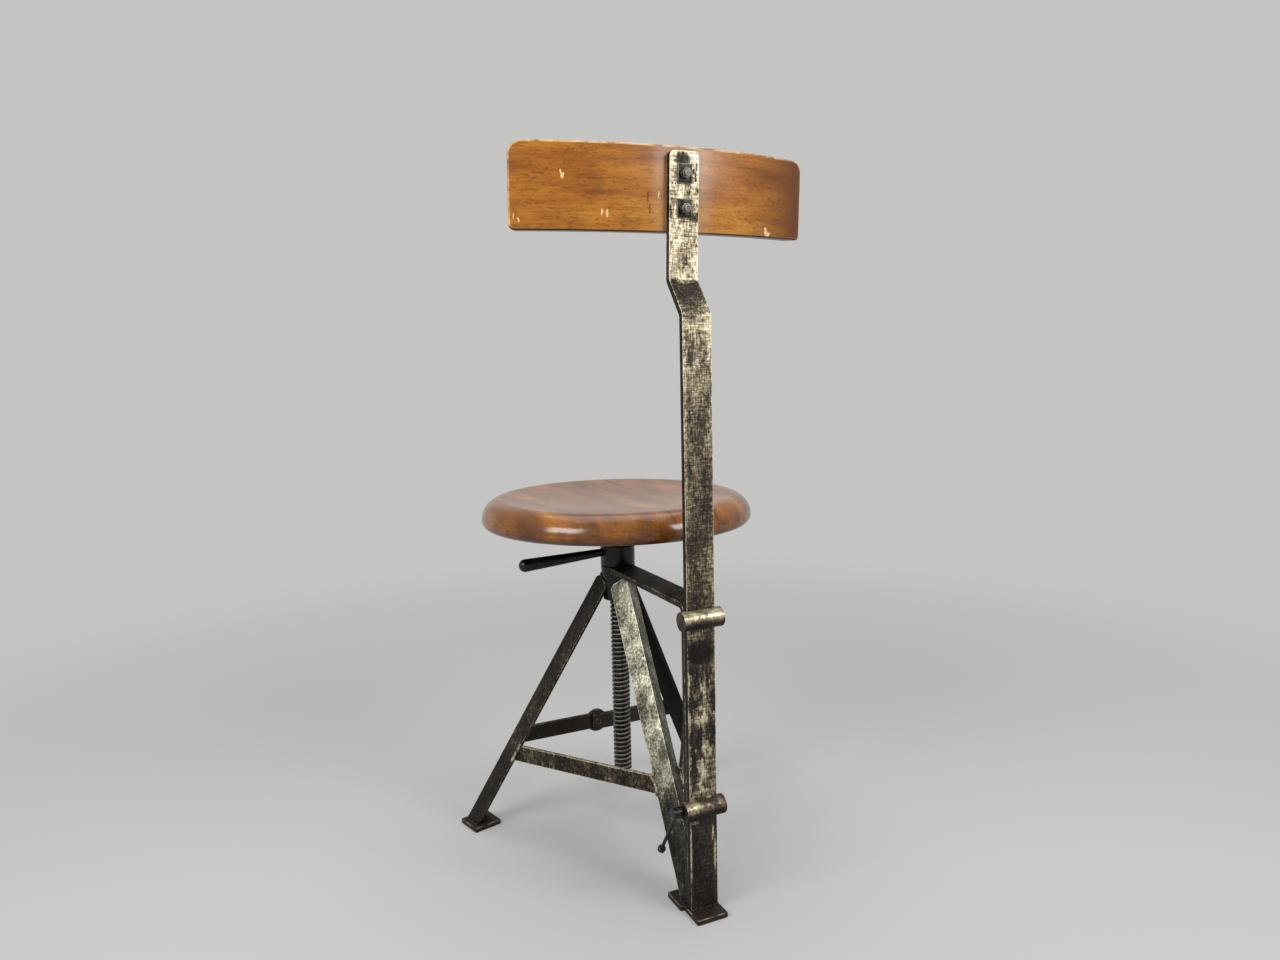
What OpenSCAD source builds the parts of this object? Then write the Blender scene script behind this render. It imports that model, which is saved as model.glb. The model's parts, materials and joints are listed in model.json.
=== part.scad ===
// Workshop chair: a screw-lift stool on an angle-iron tripod, with a sliding back post.
// Millimetres, +Z up. The sitter faces -Y, so +X is the sitter's left and the back post is at +Y.
// The design values are measured from the spindle's axis at floor level, and in_frame() moves
// the finished pieces so that the origin is the middle of the footprint on the floor.

/* [Seat] */
// Diameter of the round seat
seat_d = 350; // [300:5:400]
// Thickness of the seat at its crest
seat_thickness = 35; // [35:1:45]
// Radius of the seat's upper edge
seat_top_round = 26; // [16:1:26]
// Radius of the seat's lower edge
seat_bottom_round = 9; // [4:1:9]
// Depth of the dish below the crest
seat_dish = 8; // [3:1:14]

/* [Seat flange] */
// Diameter of the flange plate screwed under the seat
flange_d = 130; // [110:2:200]
// Thickness of the flange plate
flange_t = 5; // [4:0.5:8]
// Diameter of the flange's boss
boss_d = 40; // [34:1:60]
// Height of the boss below the flange plate
boss_h = 23; // [14:1:40]
// Diameter of the circle of wood screws
screw_circle_d = 100; // [80:2:104]
// Shank diameter of the wood screws
wood_screw_d = 5; // [4:0.5:6]
// Length of the wood screws
wood_screw_len = 25; // [15:1:28]
// Diameter of the cross pin that holds the boss on the spindle
pin_d = 5; // [3:0.5:8]

/* [Spindle] */
// Outside diameter of the screw spindle
spindle_d = 24; // [20:1:28]
// Pitch of the spindle's thread
thread_pitch = 6; // [4:0.5:8]
// Depth of the thread
thread_depth = 1.8; // [1:0.1:2.4]
// Height of the spindle's lower end at the lowest setting
spindle_bottom_z = 86; // [40:1:160]

/* [Hub and lock nut] */
// Height of the top of the threaded hub
hub_top_z = 368; // [350:1:375]
// Height of the hub
hub_h = 45; // [35:1:60]
// Diameter of the hub at its top
hub_top_d = 45; // [40:1:52]
// Diameter of the hub at its lower end
hub_bottom_d = 40; // [34:1:44]
// Diameter of the lock nut
nut_d = 45; // [40:1:56]
// Height of the lock nut
nut_h = 28; // [22:1:32]
// Length of the lever from the spindle's axis
lever_len = 136; // [90:1:160]
// Diameter of the lever where it leaves the nut
lever_root_d = 10; // [8:0.5:12]
// Diameter of the lever's rounded end
lever_tip_d = 16.5; // [12:0.5:18]
// Droop of the lever below level
lever_droop = 3; // [0:0.5:5]
// Turn of the lever from +X, towards the front
lever_turn = 0; // [0:0.5:40]

/* [Legs] */
// Flange width of the angle iron
angle_w = 25; // [20:1:32]
// Thickness of the angle iron
angle_t = 4; // [3:0.5:6]
// Radius of the legs' outer corner line at the floor
leg_foot_r = 224.5; // [180:0.5:250]
// Radius of the same line at the height of the hub's top
leg_head_r = 20; // [16:0.5:24]
// Height of the legs' cut tops
leg_top_z = 356; // [330:1:358]
// Size of the corners cut off the legs' tops
leg_top_cut = 9; // [0:0.5:10]

/* [Feet] */
// Side of the square foot plates under the two front legs
foot_plate_w = 40; // [36:1:60]
// Thickness of all foot plates
foot_plate_t = 6.5; // [4:0.5:10]
// Distance of the front foot plates' middle inside the legs' corner line
foot_plate_inset = 24; // [16:0.5:32]
// Width of the rear leg's foot plate
rear_plate_w = 48; // [40:1:70]
// Length of the rear leg's foot plate
rear_plate_len = 34; // [20:1:50]
// Width of the foot plate under the upright
post_plate_w = 39; // [36:1:60]
// Distance that this plate reaches behind the post
post_plate_reach = 20; // [10:1:40]

/* [Stretchers] */
// Height of the flat stretcher bars
stretcher_h = 22; // [16:1:30]
// Thickness of the stretcher bars
stretcher_t = 5; // [4:0.5:8]
// Height of the stretchers' centre line
stretcher_z = 123; // [80:1:180]
// Drop of the left stretcher at the left leg
left_stretcher_drop = 12; // [0:1:20]
// Diameter of the eye where the front stretcher's two halves lap
eye_d = 32; // [26:1:40]
// Distance of the eye from the middle, towards the left leg
eye_x = 2.5; // [-20:0.5:20]
// Diameter of the rivet through the lap
rivet_d = 8; // [5:0.5:10]

/* [Back support] */
// Width of the flat bar of the arm, upright and post
bar_w = 35; // [30:1:45]
// Thickness of the flat bar
bar_t = 7; // [5:0.5:9]
// Distance of the post's rear face behind the spindle's axis
post_rear_y = 226; // [224:1:240]
// Inner bend radius of the flat bars
bend_r = 6; // [4:0.5:12]

/* [Guides] */
// Diameter of the two round guide bars
guide_d = 22; // [20:0.5:30]
// Length of the guide bars
guide_len = 50; // [46:1:70]
// Height of the upper guide
upper_guide_z = 350.5; // [320:0.5:351]
// Height of the lower guide
lower_guide_z = 129; // [100:0.5:160]

/* [Clamp screw] */
// Diameter of the clamp screw
clamp_d = 8; // [6:0.5:10]
// Diameter of the clamp screw's head
clamp_head_d = 13; // [11:0.5:18]
// Length of the clamp screw's head
clamp_head_len = 12; // [9:0.5:18]
// Diameter of the tommy bar
tommy_d = 4; // [3:0.25:5]
// Reach of the tommy bar below the screw
tommy_reach = 79; // [40:1:85]
// Diameter of the knob on the tommy bar
knob_d = 9.5; // [7:0.5:12]
// Lean of the hanging tommy bar from upright
tommy_lean = 33; // [0:1:60]

/* [Back post] */
// Height of the lower bend
joggle_low_z = 683; // [600:1:700]
// Height of the upper bend
joggle_high_z = 721; // [710:1:760]
// Forward set of the post between its two bends
joggle_set = 29; // [10:1:40]
// Rearward lean of the post's upper part
back_lean = 3.1; // [0:0.1:10]
// Radius of the post's rounded top corners
post_top_round = 6; // [2:0.5:12]

/* [Backrest] */
// Width of the backrest across its ends
back_w = 362; // [300:2:420]
// Height of the backrest
back_h = 90; // [80:1:140]
// Thickness of the bent board
back_t = 20; // [14:0.5:26]
// Radius of the board's rear face
back_curve_r = 424; // [350:2:600]
// Radius of the board's upper corners
back_top_corner_r = 15; // [4:0.5:20]
// Radius of the board's lower corners
back_bottom_corner_r = 6; // [4:0.5:20]
// Height of the board's middle
back_mid_z = 816; // [800:1:860]
// Distance of the post's top below the board's top
post_below_top = 6; // [2:0.5:12]
// Distance between the two bolts
bolt_spacing = 36; // [26:1:44]
// Distance of the bolts' middle below the board's middle
bolt_drop = 2; // [0:0.5:6]
// Diameter of the backrest bolts
bolt_d = 6; // [5:0.5:8]
// Width of the plate washers
washer_w = 17; // [14:0.5:22]
// Height of the plate washers
washer_h = 20; // [14:0.5:24]

/* [Hidden] */
// Radial clearance of a shaft that turns or slides in its bore
running_gap = 0.075;
// Clearance of the post in its guides
slide_gap = 0.3;
// Clearance that a weld fills
weld_gap = 0.1;
// Clearance of a fastener in its hole
hole_gap = 0.2;
// Play between pieces that stack on the spindle
stack_gap = 0.3;
// Clearance under the backrest bolts' heads
head_gap = 0.05;
// Thickness of the stop washer under the flange's boss
stop_washer_t = 2;
// Rise of the wood screws' heads below the flange
wood_screw_head_h = 2.5;
// Thickness of the plate washers
washer_t = 1.5;
// Height of the backrest nuts and the bolt end beyond them
bolt_nut_h = 5;
bolt_end = 3;
// Height of the domed heads of the backrest bolts and of the rivet
dome_h = 3.5;
// Length of the tommy bar's knob, and of the burred end that keeps it in the screw
knob_h = 5.5;
burr_h = 1.5;
// Depth to which the lever is screwed into the lock nut
lever_seat = 10;
// Height of the lever's root above the lock nut's lower face
lever_rise = 19.5;
// Width of the small chamfers on turned pieces
chamfer = 1.5;
// A size larger than the whole chair, for cutting tools
beyond = 1200;
// Steps in each bend of a flat bar
bend_steps = 6;

steel = "#8b866f";
dark_steel = "#35332d";
wood = "#a05a2c";

seat_r = seat_d / 2;
nut_z = hub_top_z + stack_gap;
stop_washer_z = nut_z + nut_h + stack_gap;
boss_bottom_z = stop_washer_z + stop_washer_t + stack_gap;
flange_bottom_z = boss_bottom_z + boss_h;
seat_underside_z = flange_bottom_z + flange_t;
foot_plate_r = leg_foot_r - foot_plate_inset;
bore_r = spindle_d / 2 + running_gap;
leg_tilt = atan((leg_foot_r - leg_head_r) / hub_top_z);
leg_len = leg_top_z / cos(leg_tilt);
post_mid_y = post_rear_y - bar_t / 2;
post_bottom_z = foot_plate_t + slide_gap;
upright_rear_y = post_rear_y - bar_t - slide_gap;
upright_front_y = upright_rear_y - bar_t;
upright_mid_y = upright_rear_y - bar_t / 2;
bar_bend_r = bend_r + bar_t / 2;
clamp_x = guide_len / 2 + 1;
tommy_x = clamp_x + clamp_head_len / 2;
back_mid_y = post_mid_y - joggle_set + (back_mid_z - joggle_high_z) * tan(back_lean);
post_top = back_h / 2 - post_below_top;
footprint_rear_y = post_rear_y + post_plate_reach;
centre_y = (footprint_rear_y - seat_r) / 2;

$fn = 96;

// Moves a piece from the spindle's axis to the middle of the footprint
module in_frame() {
    translate([0, -centre_y, 0]) children();
}

// Places children at a compass bearing, measured from the rear (+Y) towards +X
module at_bearing(bearing) {
    rotate([0, 0, -bearing]) children();
}

// Points of a path's side line, with every inner corner rounded about the centre line
function unit(v) = v / norm(v);
function left_of(v) = [-v[1], v[0]];
function turned(v, a) = [v[0] * cos(a) - v[1] * sin(a), v[0] * sin(a) + v[1] * cos(a)];
function bend_points(a, b, c, radius, side) =
    let (
        u = unit(b - a),
        v = unit(c - b),
        way = sign(u[0] * v[1] - u[1] * v[0]),
        angle = acos(u * v),
        start = b - u * radius * tan(angle / 2),
        middle = start + left_of(u) * way * radius
    )
    [for (k = [0 : bend_steps])
        middle + turned(-left_of(u) * way, way * angle * k / bend_steps) * (radius - way * side)];
function side_points(path, radius, side) =
    let (n = len(path) - 1)
    [
        path[0] + left_of(unit(path[1] - path[0])) * side,
        for (i = [1 : n - 1]) each bend_points(path[i - 1], path[i], path[i + 1], radius, side),
        path[n] + left_of(unit(path[n] - path[n - 1])) * side
    ];
function reversed(list) = [for (i = [len(list) - 1 : -1 : 0]) list[i]];

// A flat bar bent in the Y-Z plane, given its centre line as [y, z] points
module bent_bar(path, radius, width, thickness) {
    rotate([90, 0, 90])
        translate([0, 0, -width / 2])
            linear_extrude(width)
                polygon(concat(
                    side_points(path, radius, thickness / 2),
                    reversed(side_points(path, radius, -thickness / 2))
                ));
}

// A solid of revolution with both rims chamfered
module turned_disc(diameter, height, rim = chamfer) {
    rotate_extrude()
        polygon([
            [0, 0], [diameter / 2 - rim, 0], [diameter / 2, rim],
            [diameter / 2, height - rim], [diameter / 2 - rim, height], [0, height]
        ]);
}

// A plate with rounded corners, standing on z = 0
module rounded_plate(width, length, thickness, corner) {
    linear_extrude(thickness)
        union() {
            square([width - 2 * corner, length], center = true);
            square([width, length - 2 * corner], center = true);
            for (x = [-1, 1], y = [-1, 1])
                translate([x * (width / 2 - corner), y * (length / 2 - corner)]) circle(corner);
        }
}

// A low dome of the given base diameter, standing on z = 0
module dome(diameter, height) {
    sphere_r = (pow(diameter / 2, 2) + height * height) / (2 * height);
    intersection() {
        translate([0, 0, height - sphere_r]) sphere(sphere_r);
        cylinder(d = diameter + 1, h = height);
    }
}

// The hub's outside, grown by a gap
module hub_body(gap = 0) {
    translate([0, 0, hub_top_z - hub_h - gap])
        cylinder(d1 = hub_bottom_d + 2 * gap, d2 = hub_top_d + 2 * gap, h = hub_h + 2 * gap);
}

// Local frame of a leg: z along its length, x and y along its two flanges, corner outwards
module leg_frame(bearing) {
    at_bearing(bearing)
        translate([0, leg_foot_r, 0])
            rotate([leg_tilt, 0, 0])
                rotate([0, 0, -135])
                    children();
}

// Rolled angle section with its inner fillet
module angle_section() {
    fillet = angle_t;
    square([angle_w, angle_t]);
    square([angle_t, angle_w]);
    translate([angle_t, angle_t])
        difference() {
            square(fillet);
            translate([fillet, fillet]) circle(fillet);
        }
}

module leg(bearing) {
    cut = leg_top_cut * sqrt(2);
    difference() {
        leg_frame(bearing)
            difference() {
                translate([0, 0, -angle_w]) linear_extrude(leg_len + angle_w) angle_section();
                translate([angle_w, 0, leg_len])
                    rotate([0, 45, 0])
                        cube([cut, 3 * angle_w, cut], center = true);
                translate([0, angle_w, leg_len])
                    rotate([45, 0, 0])
                        cube([3 * angle_w, cut, cut], center = true);
                translate([0, 0, leg_len])
                    rotate([0, 0, 45])
                        rotate([0, 45, 0])
                            cube([cut / 2, 3 * angle_w, cut / 2], center = true);
            }
        translate([-beyond, -beyond, foot_plate_t - beyond]) cube([2 * beyond, 2 * beyond, beyond]);
        hub_body(weld_gap);
    }
}

// Everything on the outer side of a leg's flange edge, so that a stretcher can be cut to butt on it
module beyond_flange_edge(bearing, flange) {
    edge = angle_w - beyond;
    far = -beyond / 2;
    leg_frame(bearing)
        translate(flange == "x" ? [edge, far, far] : [far, edge, far])
            cube(beyond);
}

// Point in plan of a flange's edge at a height, for the leg that points to the rear
function flange_edge(z) =
    let (r = leg_foot_r - z * tan(leg_tilt))
    [angle_w * sin(45), r - angle_w * sin(45) / cos(leg_tilt)];
// Distance of a side of the stretcher triangle from the axis, at a height
function side_distance(z) =
    let (p = flange_edge(z))
    p[0] * sin(60) + p[1] * cos(60);

// Places children on one side of the triangle: x along the side, y outwards, z up
module on_side(bearing) {
    at_bearing(bearing)
        translate([0, side_distance(stretcher_z), stretcher_z])
            children();
}

module side_bar(length, height, rise) {
    rotate([0, -atan(rise / length), 0])
        cube([2 * length, stretcher_t, height], center = true);
}

side_len = 2 * (flange_edge(stretcher_z)[1] * sin(60) - flange_edge(stretcher_z)[0] * cos(60));

module hub() {
    color(dark_steel) in_frame()
        difference() {
            hub_body();
            translate([0, 0, hub_top_z - hub_h - 1]) cylinder(r = bore_r, h = hub_h + 2);
        }
}

module left_leg() {
    color(steel) in_frame() leg(120);
}

module right_leg() {
    color(steel) in_frame() leg(-120);
}

module rear_leg() {
    color(steel) in_frame()
        difference() {
            leg(0);
            translate([-beyond / 2, upright_front_y, -beyond / 2]) cube(beyond);
        }
}

module front_foot_plate(bearing) {
    at_bearing(bearing)
        translate([0, foot_plate_r, 0])
            rotate([0, 0, 45])
                rounded_plate(foot_plate_w, foot_plate_w, foot_plate_t, 2);
}

module left_foot_plate() {
    color(dark_steel) in_frame() front_foot_plate(120);
}

module right_foot_plate() {
    color(dark_steel) in_frame() front_foot_plate(-120);
}

module rear_foot_plate() {
    color(dark_steel) in_frame()
        translate([0, upright_front_y - rear_plate_len / 2, 0])
            rounded_plate(rear_plate_w, rear_plate_len, foot_plate_t, 2);
}

module upright_foot_plate() {
    length = footprint_rear_y - upright_front_y;
    color(dark_steel) in_frame()
        translate([0, upright_front_y + length / 2, 0])
            rounded_plate(post_plate_w, length, foot_plate_t, 1.5);
}

module left_stretcher() {
    color(steel) in_frame()
        difference() {
            on_side(60)
                translate([0, 0, -left_stretcher_drop / 2])
                    side_bar(side_len, stretcher_h, -left_stretcher_drop);
            beyond_flange_edge(0, "y");
            beyond_flange_edge(120, "x");
        }
}

module right_stretcher() {
    color(steel) in_frame()
        difference() {
            on_side(-60) side_bar(side_len, stretcher_h, 0);
            beyond_flange_edge(0, "x");
            beyond_flange_edge(-120, "y");
        }
}

// The front stretcher is two bars, side by side through the lap
module front_stretcher_left() {
    color(dark_steel) in_frame()
        difference() {
            on_side(180) {
                translate([-side_len, 0, -stretcher_h / 2])
                    cube([side_len - eye_x, stretcher_t, stretcher_h]);
                translate([-eye_x, 0, 0]) rotate([-90, 0, 0]) cylinder(d = eye_d, h = stretcher_t);
            }
            beyond_flange_edge(120, "y");
            on_side(180) rivet_hole();
        }
}

module front_stretcher_right() {
    lap = eye_x + 8;
    color(dark_steel) in_frame()
        difference() {
            on_side(180)
                translate([-lap, -stretcher_t, -stretcher_h / 2])
                    cube([side_len + lap, stretcher_t, stretcher_h]);
            beyond_flange_edge(-120, "x");
            on_side(180) rivet_hole();
        }
}

module rivet_hole() {
    translate([-eye_x, -2 * stretcher_t, 0]) rotate([-90, 0, 0]) cylinder(d = rivet_d, h = 4 * stretcher_t);
}

module stretcher_rivet() {
    color(dark_steel) in_frame()
        on_side(180)
            translate([-eye_x, 0, 0])
                rotate([-90, 0, 0]) {
                    translate([0, 0, -stretcher_t]) cylinder(d = rivet_d, h = 2 * stretcher_t);
                    translate([0, 0, stretcher_t]) dome(rivet_d * 1.8, dome_h);
                }
}

module back_support() {
    color(steel) in_frame()
        difference() {
            arm_z = hub_top_z - bar_t / 2;
            bent_bar(
                [[0, arm_z], [upright_mid_y, arm_z], [upright_mid_y, foot_plate_t]],
                bar_bend_r, bar_w, bar_t
            );
            hub_body(weld_gap);
            translate([0, 0, hub_top_z - 2 * bar_t]) cylinder(d = hub_top_d - bar_t, h = 3 * bar_t);
        }
}

// A round bar, cut away at the front to take the upright and the sliding post
module guide(z) {
    upright_depth = post_rear_y - upright_rear_y;
    translate([0, post_rear_y, z])
        difference() {
            rotate([0, 90, 0]) cylinder(d = guide_d, h = guide_len, center = true);
            translate([-bar_w / 2, -guide_d, -guide_d]) cube([bar_w, guide_d - upright_depth, 2 * guide_d]);
            translate([-bar_w / 2 - slide_gap, -upright_depth, -guide_d])
                cube([bar_w + 2 * slide_gap, upright_depth + slide_gap, 2 * guide_d]);
        }
}

module upper_guide() {
    color(steel) in_frame() guide(upper_guide_z);
}

module lower_guide() {
    color(steel) in_frame()
        difference() {
            guide(lower_guide_z);
            clamp_frame() cylinder(r = clamp_d / 2 + running_gap, h = guide_len);
        }
}

// Frame of the lever: z outwards along it, from the spindle's axis
module lever_frame() {
    translate([0, 0, nut_z + lever_rise])
        rotate([0, 0, -lever_turn])
            rotate([0, 90 + lever_droop, 0])
                children();
}

module lock_nut() {
    color(dark_steel) in_frame()
        difference() {
            translate([0, 0, nut_z]) turned_disc(nut_d, nut_h);
            translate([0, 0, nut_z - 1]) cylinder(r = bore_r, h = nut_h + 2);
            lever_frame() translate([0, 0, nut_d / 2 - lever_seat]) cylinder(d = lever_root_d, h = nut_d);
        }
}

module lock_lever() {
    taper_len = lever_len - nut_d / 2 - lever_tip_d / 2;
    color(dark_steel) in_frame()
        lever_frame()
            translate([0, 0, nut_d / 2]) {
                translate([0, 0, -lever_seat]) cylinder(d = lever_root_d, h = lever_seat);
                cylinder(d1 = lever_root_d, d2 = lever_tip_d, h = taper_len);
                translate([0, 0, taper_len])
                    intersection() {
                        sphere(d = lever_tip_d);
                        cylinder(d = lever_tip_d, h = lever_tip_d);
                    }
            }
}

module stop_washer() {
    color(dark_steel) in_frame()
        translate([0, 0, stop_washer_z])
            difference() {
                turned_disc(boss_d, stop_washer_t, 0.5);
                translate([0, 0, -1]) cylinder(r = bore_r, h = stop_washer_t + 2);
            }
}

// The spindle's thread is drawn as closed ridges at the thread's pitch
module spindle() {
    crest_r = spindle_d / 2;
    root_r = crest_r - thread_depth;
    thread_top_z = nut_z + nut_h;
    ridges = floor((thread_top_z - spindle_bottom_z) / thread_pitch);
    ridge = [[0, 0.16], [1, 0.34], [1, 0.66], [0, 0.84]];
    end_z = spindle_bottom_z;
    first_z = end_z + chamfer;
    plain_z = boss_bottom_z - stop_washer_t;
    top_z = seat_underside_z - 1;
    color(dark_steel) in_frame()
        difference() {
            rotate_extrude()
                polygon(concat(
                    [[0, end_z], [root_r - chamfer, end_z], [root_r, end_z + chamfer / 2]],
                    [for (i = [0 : ridges - 1], p = ridge)
                        [root_r + thread_depth * p[0], first_z + thread_pitch * (i + p[1])]],
                    [[root_r, plain_z], [crest_r, plain_z + thread_depth], [crest_r, top_z], [0, top_z]]
                ));
            flange_pin_hole();
        }
}

module flange_pin_hole() {
    translate([0, 0, (boss_bottom_z + flange_bottom_z) / 2])
        rotate([0, 90, 0])
            cylinder(d = pin_d, h = 2 * boss_d, center = true);
}

module seat_flange() {
    height = boss_h + flange_t;
    color(dark_steel) in_frame()
        difference() {
            union() {
                translate([0, 0, boss_bottom_z]) turned_disc(boss_d, height);
                translate([0, 0, flange_bottom_z]) turned_disc(flange_d, flange_t, 1);
            }
            translate([0, 0, boss_bottom_z - 1]) cylinder(d = spindle_d, h = height + 2);
            flange_pin_hole();
            at_wood_screws() translate([0, 0, -1]) cylinder(d = wood_screw_d + hole_gap, h = flange_t + 2);
        }
}

module at_wood_screws() {
    for (k = [0 : 3])
        rotate([0, 0, 45 + 90 * k])
            translate([screw_circle_d / 2, 0, flange_bottom_z])
                children();
}

module flange_pin() {
    color(dark_steel) in_frame()
        intersection() {
            flange_pin_hole();
            cylinder(d = boss_d, h = beyond);
        }
}

module seat_screws() {
    color(dark_steel) in_frame()
        at_wood_screws() {
            cylinder(d = wood_screw_d, h = wood_screw_len);
            mirror([0, 0, 1]) dome(wood_screw_d * 2, wood_screw_head_h);
        }
}

// Points on an arc, from one bearing of its radius to another
function arc(centre, radius, from, to, steps) =
    [for (k = [0 : steps])
        let (a = from + (to - from) * k / steps)
        centre + radius * [cos(a), sin(a)]];

// Half section of the seat: a rolled edge that runs smoothly into the dish
module seat_section() {
    crest_r = seat_r - seat_top_round;
    crest_mid = seat_thickness - seat_top_round;
    dish_angle = 2 * atan(seat_dish / crest_r);
    dish_r = crest_r / sin(dish_angle) - seat_top_round;
    dish_mid = crest_mid + (seat_top_round + dish_r) * cos(dish_angle);
    polygon(concat(
        [[0, 0]],
        arc([seat_r - seat_bottom_round, seat_bottom_round], seat_bottom_round, -90, 0, 4),
        arc([crest_r, crest_mid], seat_top_round, 0, 90 + dish_angle, 12),
        [for (p = arc([0, dish_mid], dish_r, dish_angle - 90, -90, 8)) if (p[0] < crest_r * 0.95) p]
    ));
}

module seat() {
    color(wood) in_frame()
        difference() {
            translate([0, 0, seat_underside_z]) rotate_extrude() seat_section();
            at_wood_screws() cylinder(d = wood_screw_d + hole_gap, h = wood_screw_len + 1);
        }
}

// Frame of the backrest: y rearwards and z up along the post's leaning top, on the bar's mid-plane
module back_frame() {
    translate([0, back_mid_y, back_mid_z]) rotate([-back_lean, 0, 0]) children();
}

module at_back_bolts() {
    for (s = [-1, 1])
        translate([0, 0, s * bolt_spacing / 2 - bolt_drop])
            rotate([-90, 0, 0])
                children();
}

module back_bolt_holes() {
    back_frame() at_back_bolts() cylinder(d = bolt_d + hole_gap, h = 6 * back_t, center = true);
}

module back_post() {
    joggle_y = post_mid_y - joggle_set;
    top = [back_mid_y + post_top * sin(back_lean), back_mid_z + post_top * cos(back_lean)];
    color(steel) in_frame()
        difference() {
            bent_bar(
                [[post_mid_y, post_bottom_z], [post_mid_y, joggle_low_z], [joggle_y, joggle_high_z], top],
                bar_bend_r, bar_w, bar_t
            );
            back_bolt_holes();
            back_frame()
                for (s = [-1, 1])
                    translate([s * (bar_w / 2 - post_top_round), 0, post_top - post_top_round])
                        difference() {
                            translate([s > 0 ? 0 : -bar_w, -bar_t, 0]) cube([bar_w, 2 * bar_t, bar_w]);
                            rotate([90, 0, 0]) cylinder(r = post_top_round, h = 4 * bar_t, center = true);
                        }
        }
}

// A curved board, cut square at its ends, with its corners rounded
module backrest() {
    half_angle = asin(back_w / 2 / back_curve_r);
    reach = 2 * back_curve_r;
    inner_r = back_curve_r - back_t;
    color(wood) in_frame()
        difference() {
            back_frame()
                translate([0, -bar_t / 2 - back_curve_r, 0])
                    difference() {
                        translate([0, 0, -back_h / 2]) cylinder(r = back_curve_r, h = back_h, $fn = 360);
                        translate([0, 0, -back_h]) cylinder(r = inner_r, h = 2 * back_h, $fn = 360);
                        for (end = [0, 1])
                            mirror([end, 0, 0])
                                rotate([0, 0, -half_angle]) {
                                    translate([0, -reach, -back_h])
                                        cube([reach, 2 * reach, 2 * back_h]);
                                    board_corner(back_top_corner_r);
                                    mirror([0, 0, 1]) board_corner(back_bottom_corner_r);
                                }
                        translate([-reach, -reach, -back_h]) cube([2 * reach, reach, 2 * back_h]);
                    }
            back_bolt_holes();
        }
}

// What is cut off the board's upper corner at its end, where x is 0
module board_corner(radius) {
    depth = back_curve_r + 1;
    translate([-radius, 0, back_h / 2 - radius])
        rotate([-90, 0, 0])
            difference() {
                translate([0, -2 * radius, 0]) cube([2 * radius, 2 * radius, depth]);
                translate([0, 0, -1]) cylinder(r = radius, h = depth + 2);
            }
}

// The bolts' heads bear with two edges on the board's hollow front
module back_bolts() {
    reach = bar_t / 2 + washer_t + bolt_nut_h + bolt_end;
    head_r = bolt_d * 1.3;
    inner_r = back_curve_r - back_t;
    hollow = inner_r - sqrt(inner_r * inner_r - head_r * head_r);
    front = bar_t / 2 + back_t + hollow + head_gap;
    color(dark_steel) in_frame()
        back_frame()
            at_back_bolts() {
                translate([0, 0, -front]) cylinder(d = bolt_d, h = front + reach);
                translate([0, 0, -front]) mirror([0, 0, 1]) dome(2 * head_r, dome_h);
            }
}

module back_washers() {
    color(dark_steel) in_frame()
        back_frame()
            at_back_bolts()
                translate([0, 0, bar_t / 2])
                    difference() {
                        translate([-washer_w / 2, -washer_h / 2, 0]) cube([washer_w, washer_h, washer_t]);
                        translate([0, 0, -1]) cylinder(d = bolt_d + hole_gap, h = washer_t + 2);
                    }
}

// Hexagon nuts with their corners turned off
module back_nuts() {
    across = bolt_d * 1.6667;
    color(dark_steel) in_frame()
        back_frame()
            at_back_bolts()
                translate([0, 0, bar_t / 2 + washer_t])
                    difference() {
                        intersection() {
                            cylinder(d = across / cos(30), h = bolt_nut_h, $fn = 6);
                            translate([0, 0, -bolt_nut_h])
                                cylinder(d1 = across * 2, d2 = across, h = 2 * bolt_nut_h);
                        }
                        translate([0, 0, -1]) cylinder(d = bolt_d + hole_gap, h = bolt_nut_h + 2);
                    }
}

// Frame of the clamp screw: z outwards along +X, on the post's mid-plane
module clamp_frame() {
    translate([0, post_mid_y, lower_guide_z]) rotate([0, 90, 0]) children();
}

// Frame of the tommy bar: z up along it, from the clamp screw's axis
module tommy_frame() {
    translate([tommy_x, post_mid_y, lower_guide_z]) rotate([-tommy_lean, 0, 0]) children();
}

module clamp_screw() {
    tip = bar_w / 2 + slide_gap;
    color(dark_steel) in_frame()
        difference() {
            clamp_frame() {
                translate([0, 0, tip]) cylinder(d = clamp_d, h = clamp_x - tip + 1);
                translate([0, 0, clamp_x]) turned_disc(clamp_head_d, clamp_head_len, 1);
            }
            tommy_frame() cylinder(r = tommy_d / 2 + running_gap, h = 2 * clamp_head_d, center = true);
        }
}

module tommy_bar() {
    seat = clamp_head_d / 2 + stack_gap;
    color(dark_steel) in_frame()
        tommy_frame() {
            translate([0, 0, -tommy_reach]) cylinder(d = tommy_d, h = tommy_reach + seat + burr_h);
            translate([0, 0, seat]) cylinder(d1 = tommy_d + 1, d2 = tommy_d + 1.6, h = burr_h);
            translate([0, 0, -tommy_reach]) turned_disc(knob_d, knob_h, 1);
        }
}

hub();
left_leg();
right_leg();
rear_leg();
left_foot_plate();
right_foot_plate();
rear_foot_plate();
upright_foot_plate();
left_stretcher();
right_stretcher();
front_stretcher_left();
front_stretcher_right();
stretcher_rivet();
back_support();
upper_guide();
lower_guide();
lock_nut();
lock_lever();
stop_washer();
spindle();
seat_flange();
flange_pin();
seat_screws();
seat();
back_post();
backrest();
back_bolts();
back_washers();
back_nuts();
clamp_screw();
tommy_bar();
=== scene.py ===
"""Looks of a screw-lift workshop chair, built round its packed construction.

Everything is in metres in the construction's own frame: +Z up, the back post at +Y, the sitter's left at +X.
"""
import json
import math
import random

import bpy
from mathutils import Matrix, Vector

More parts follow.
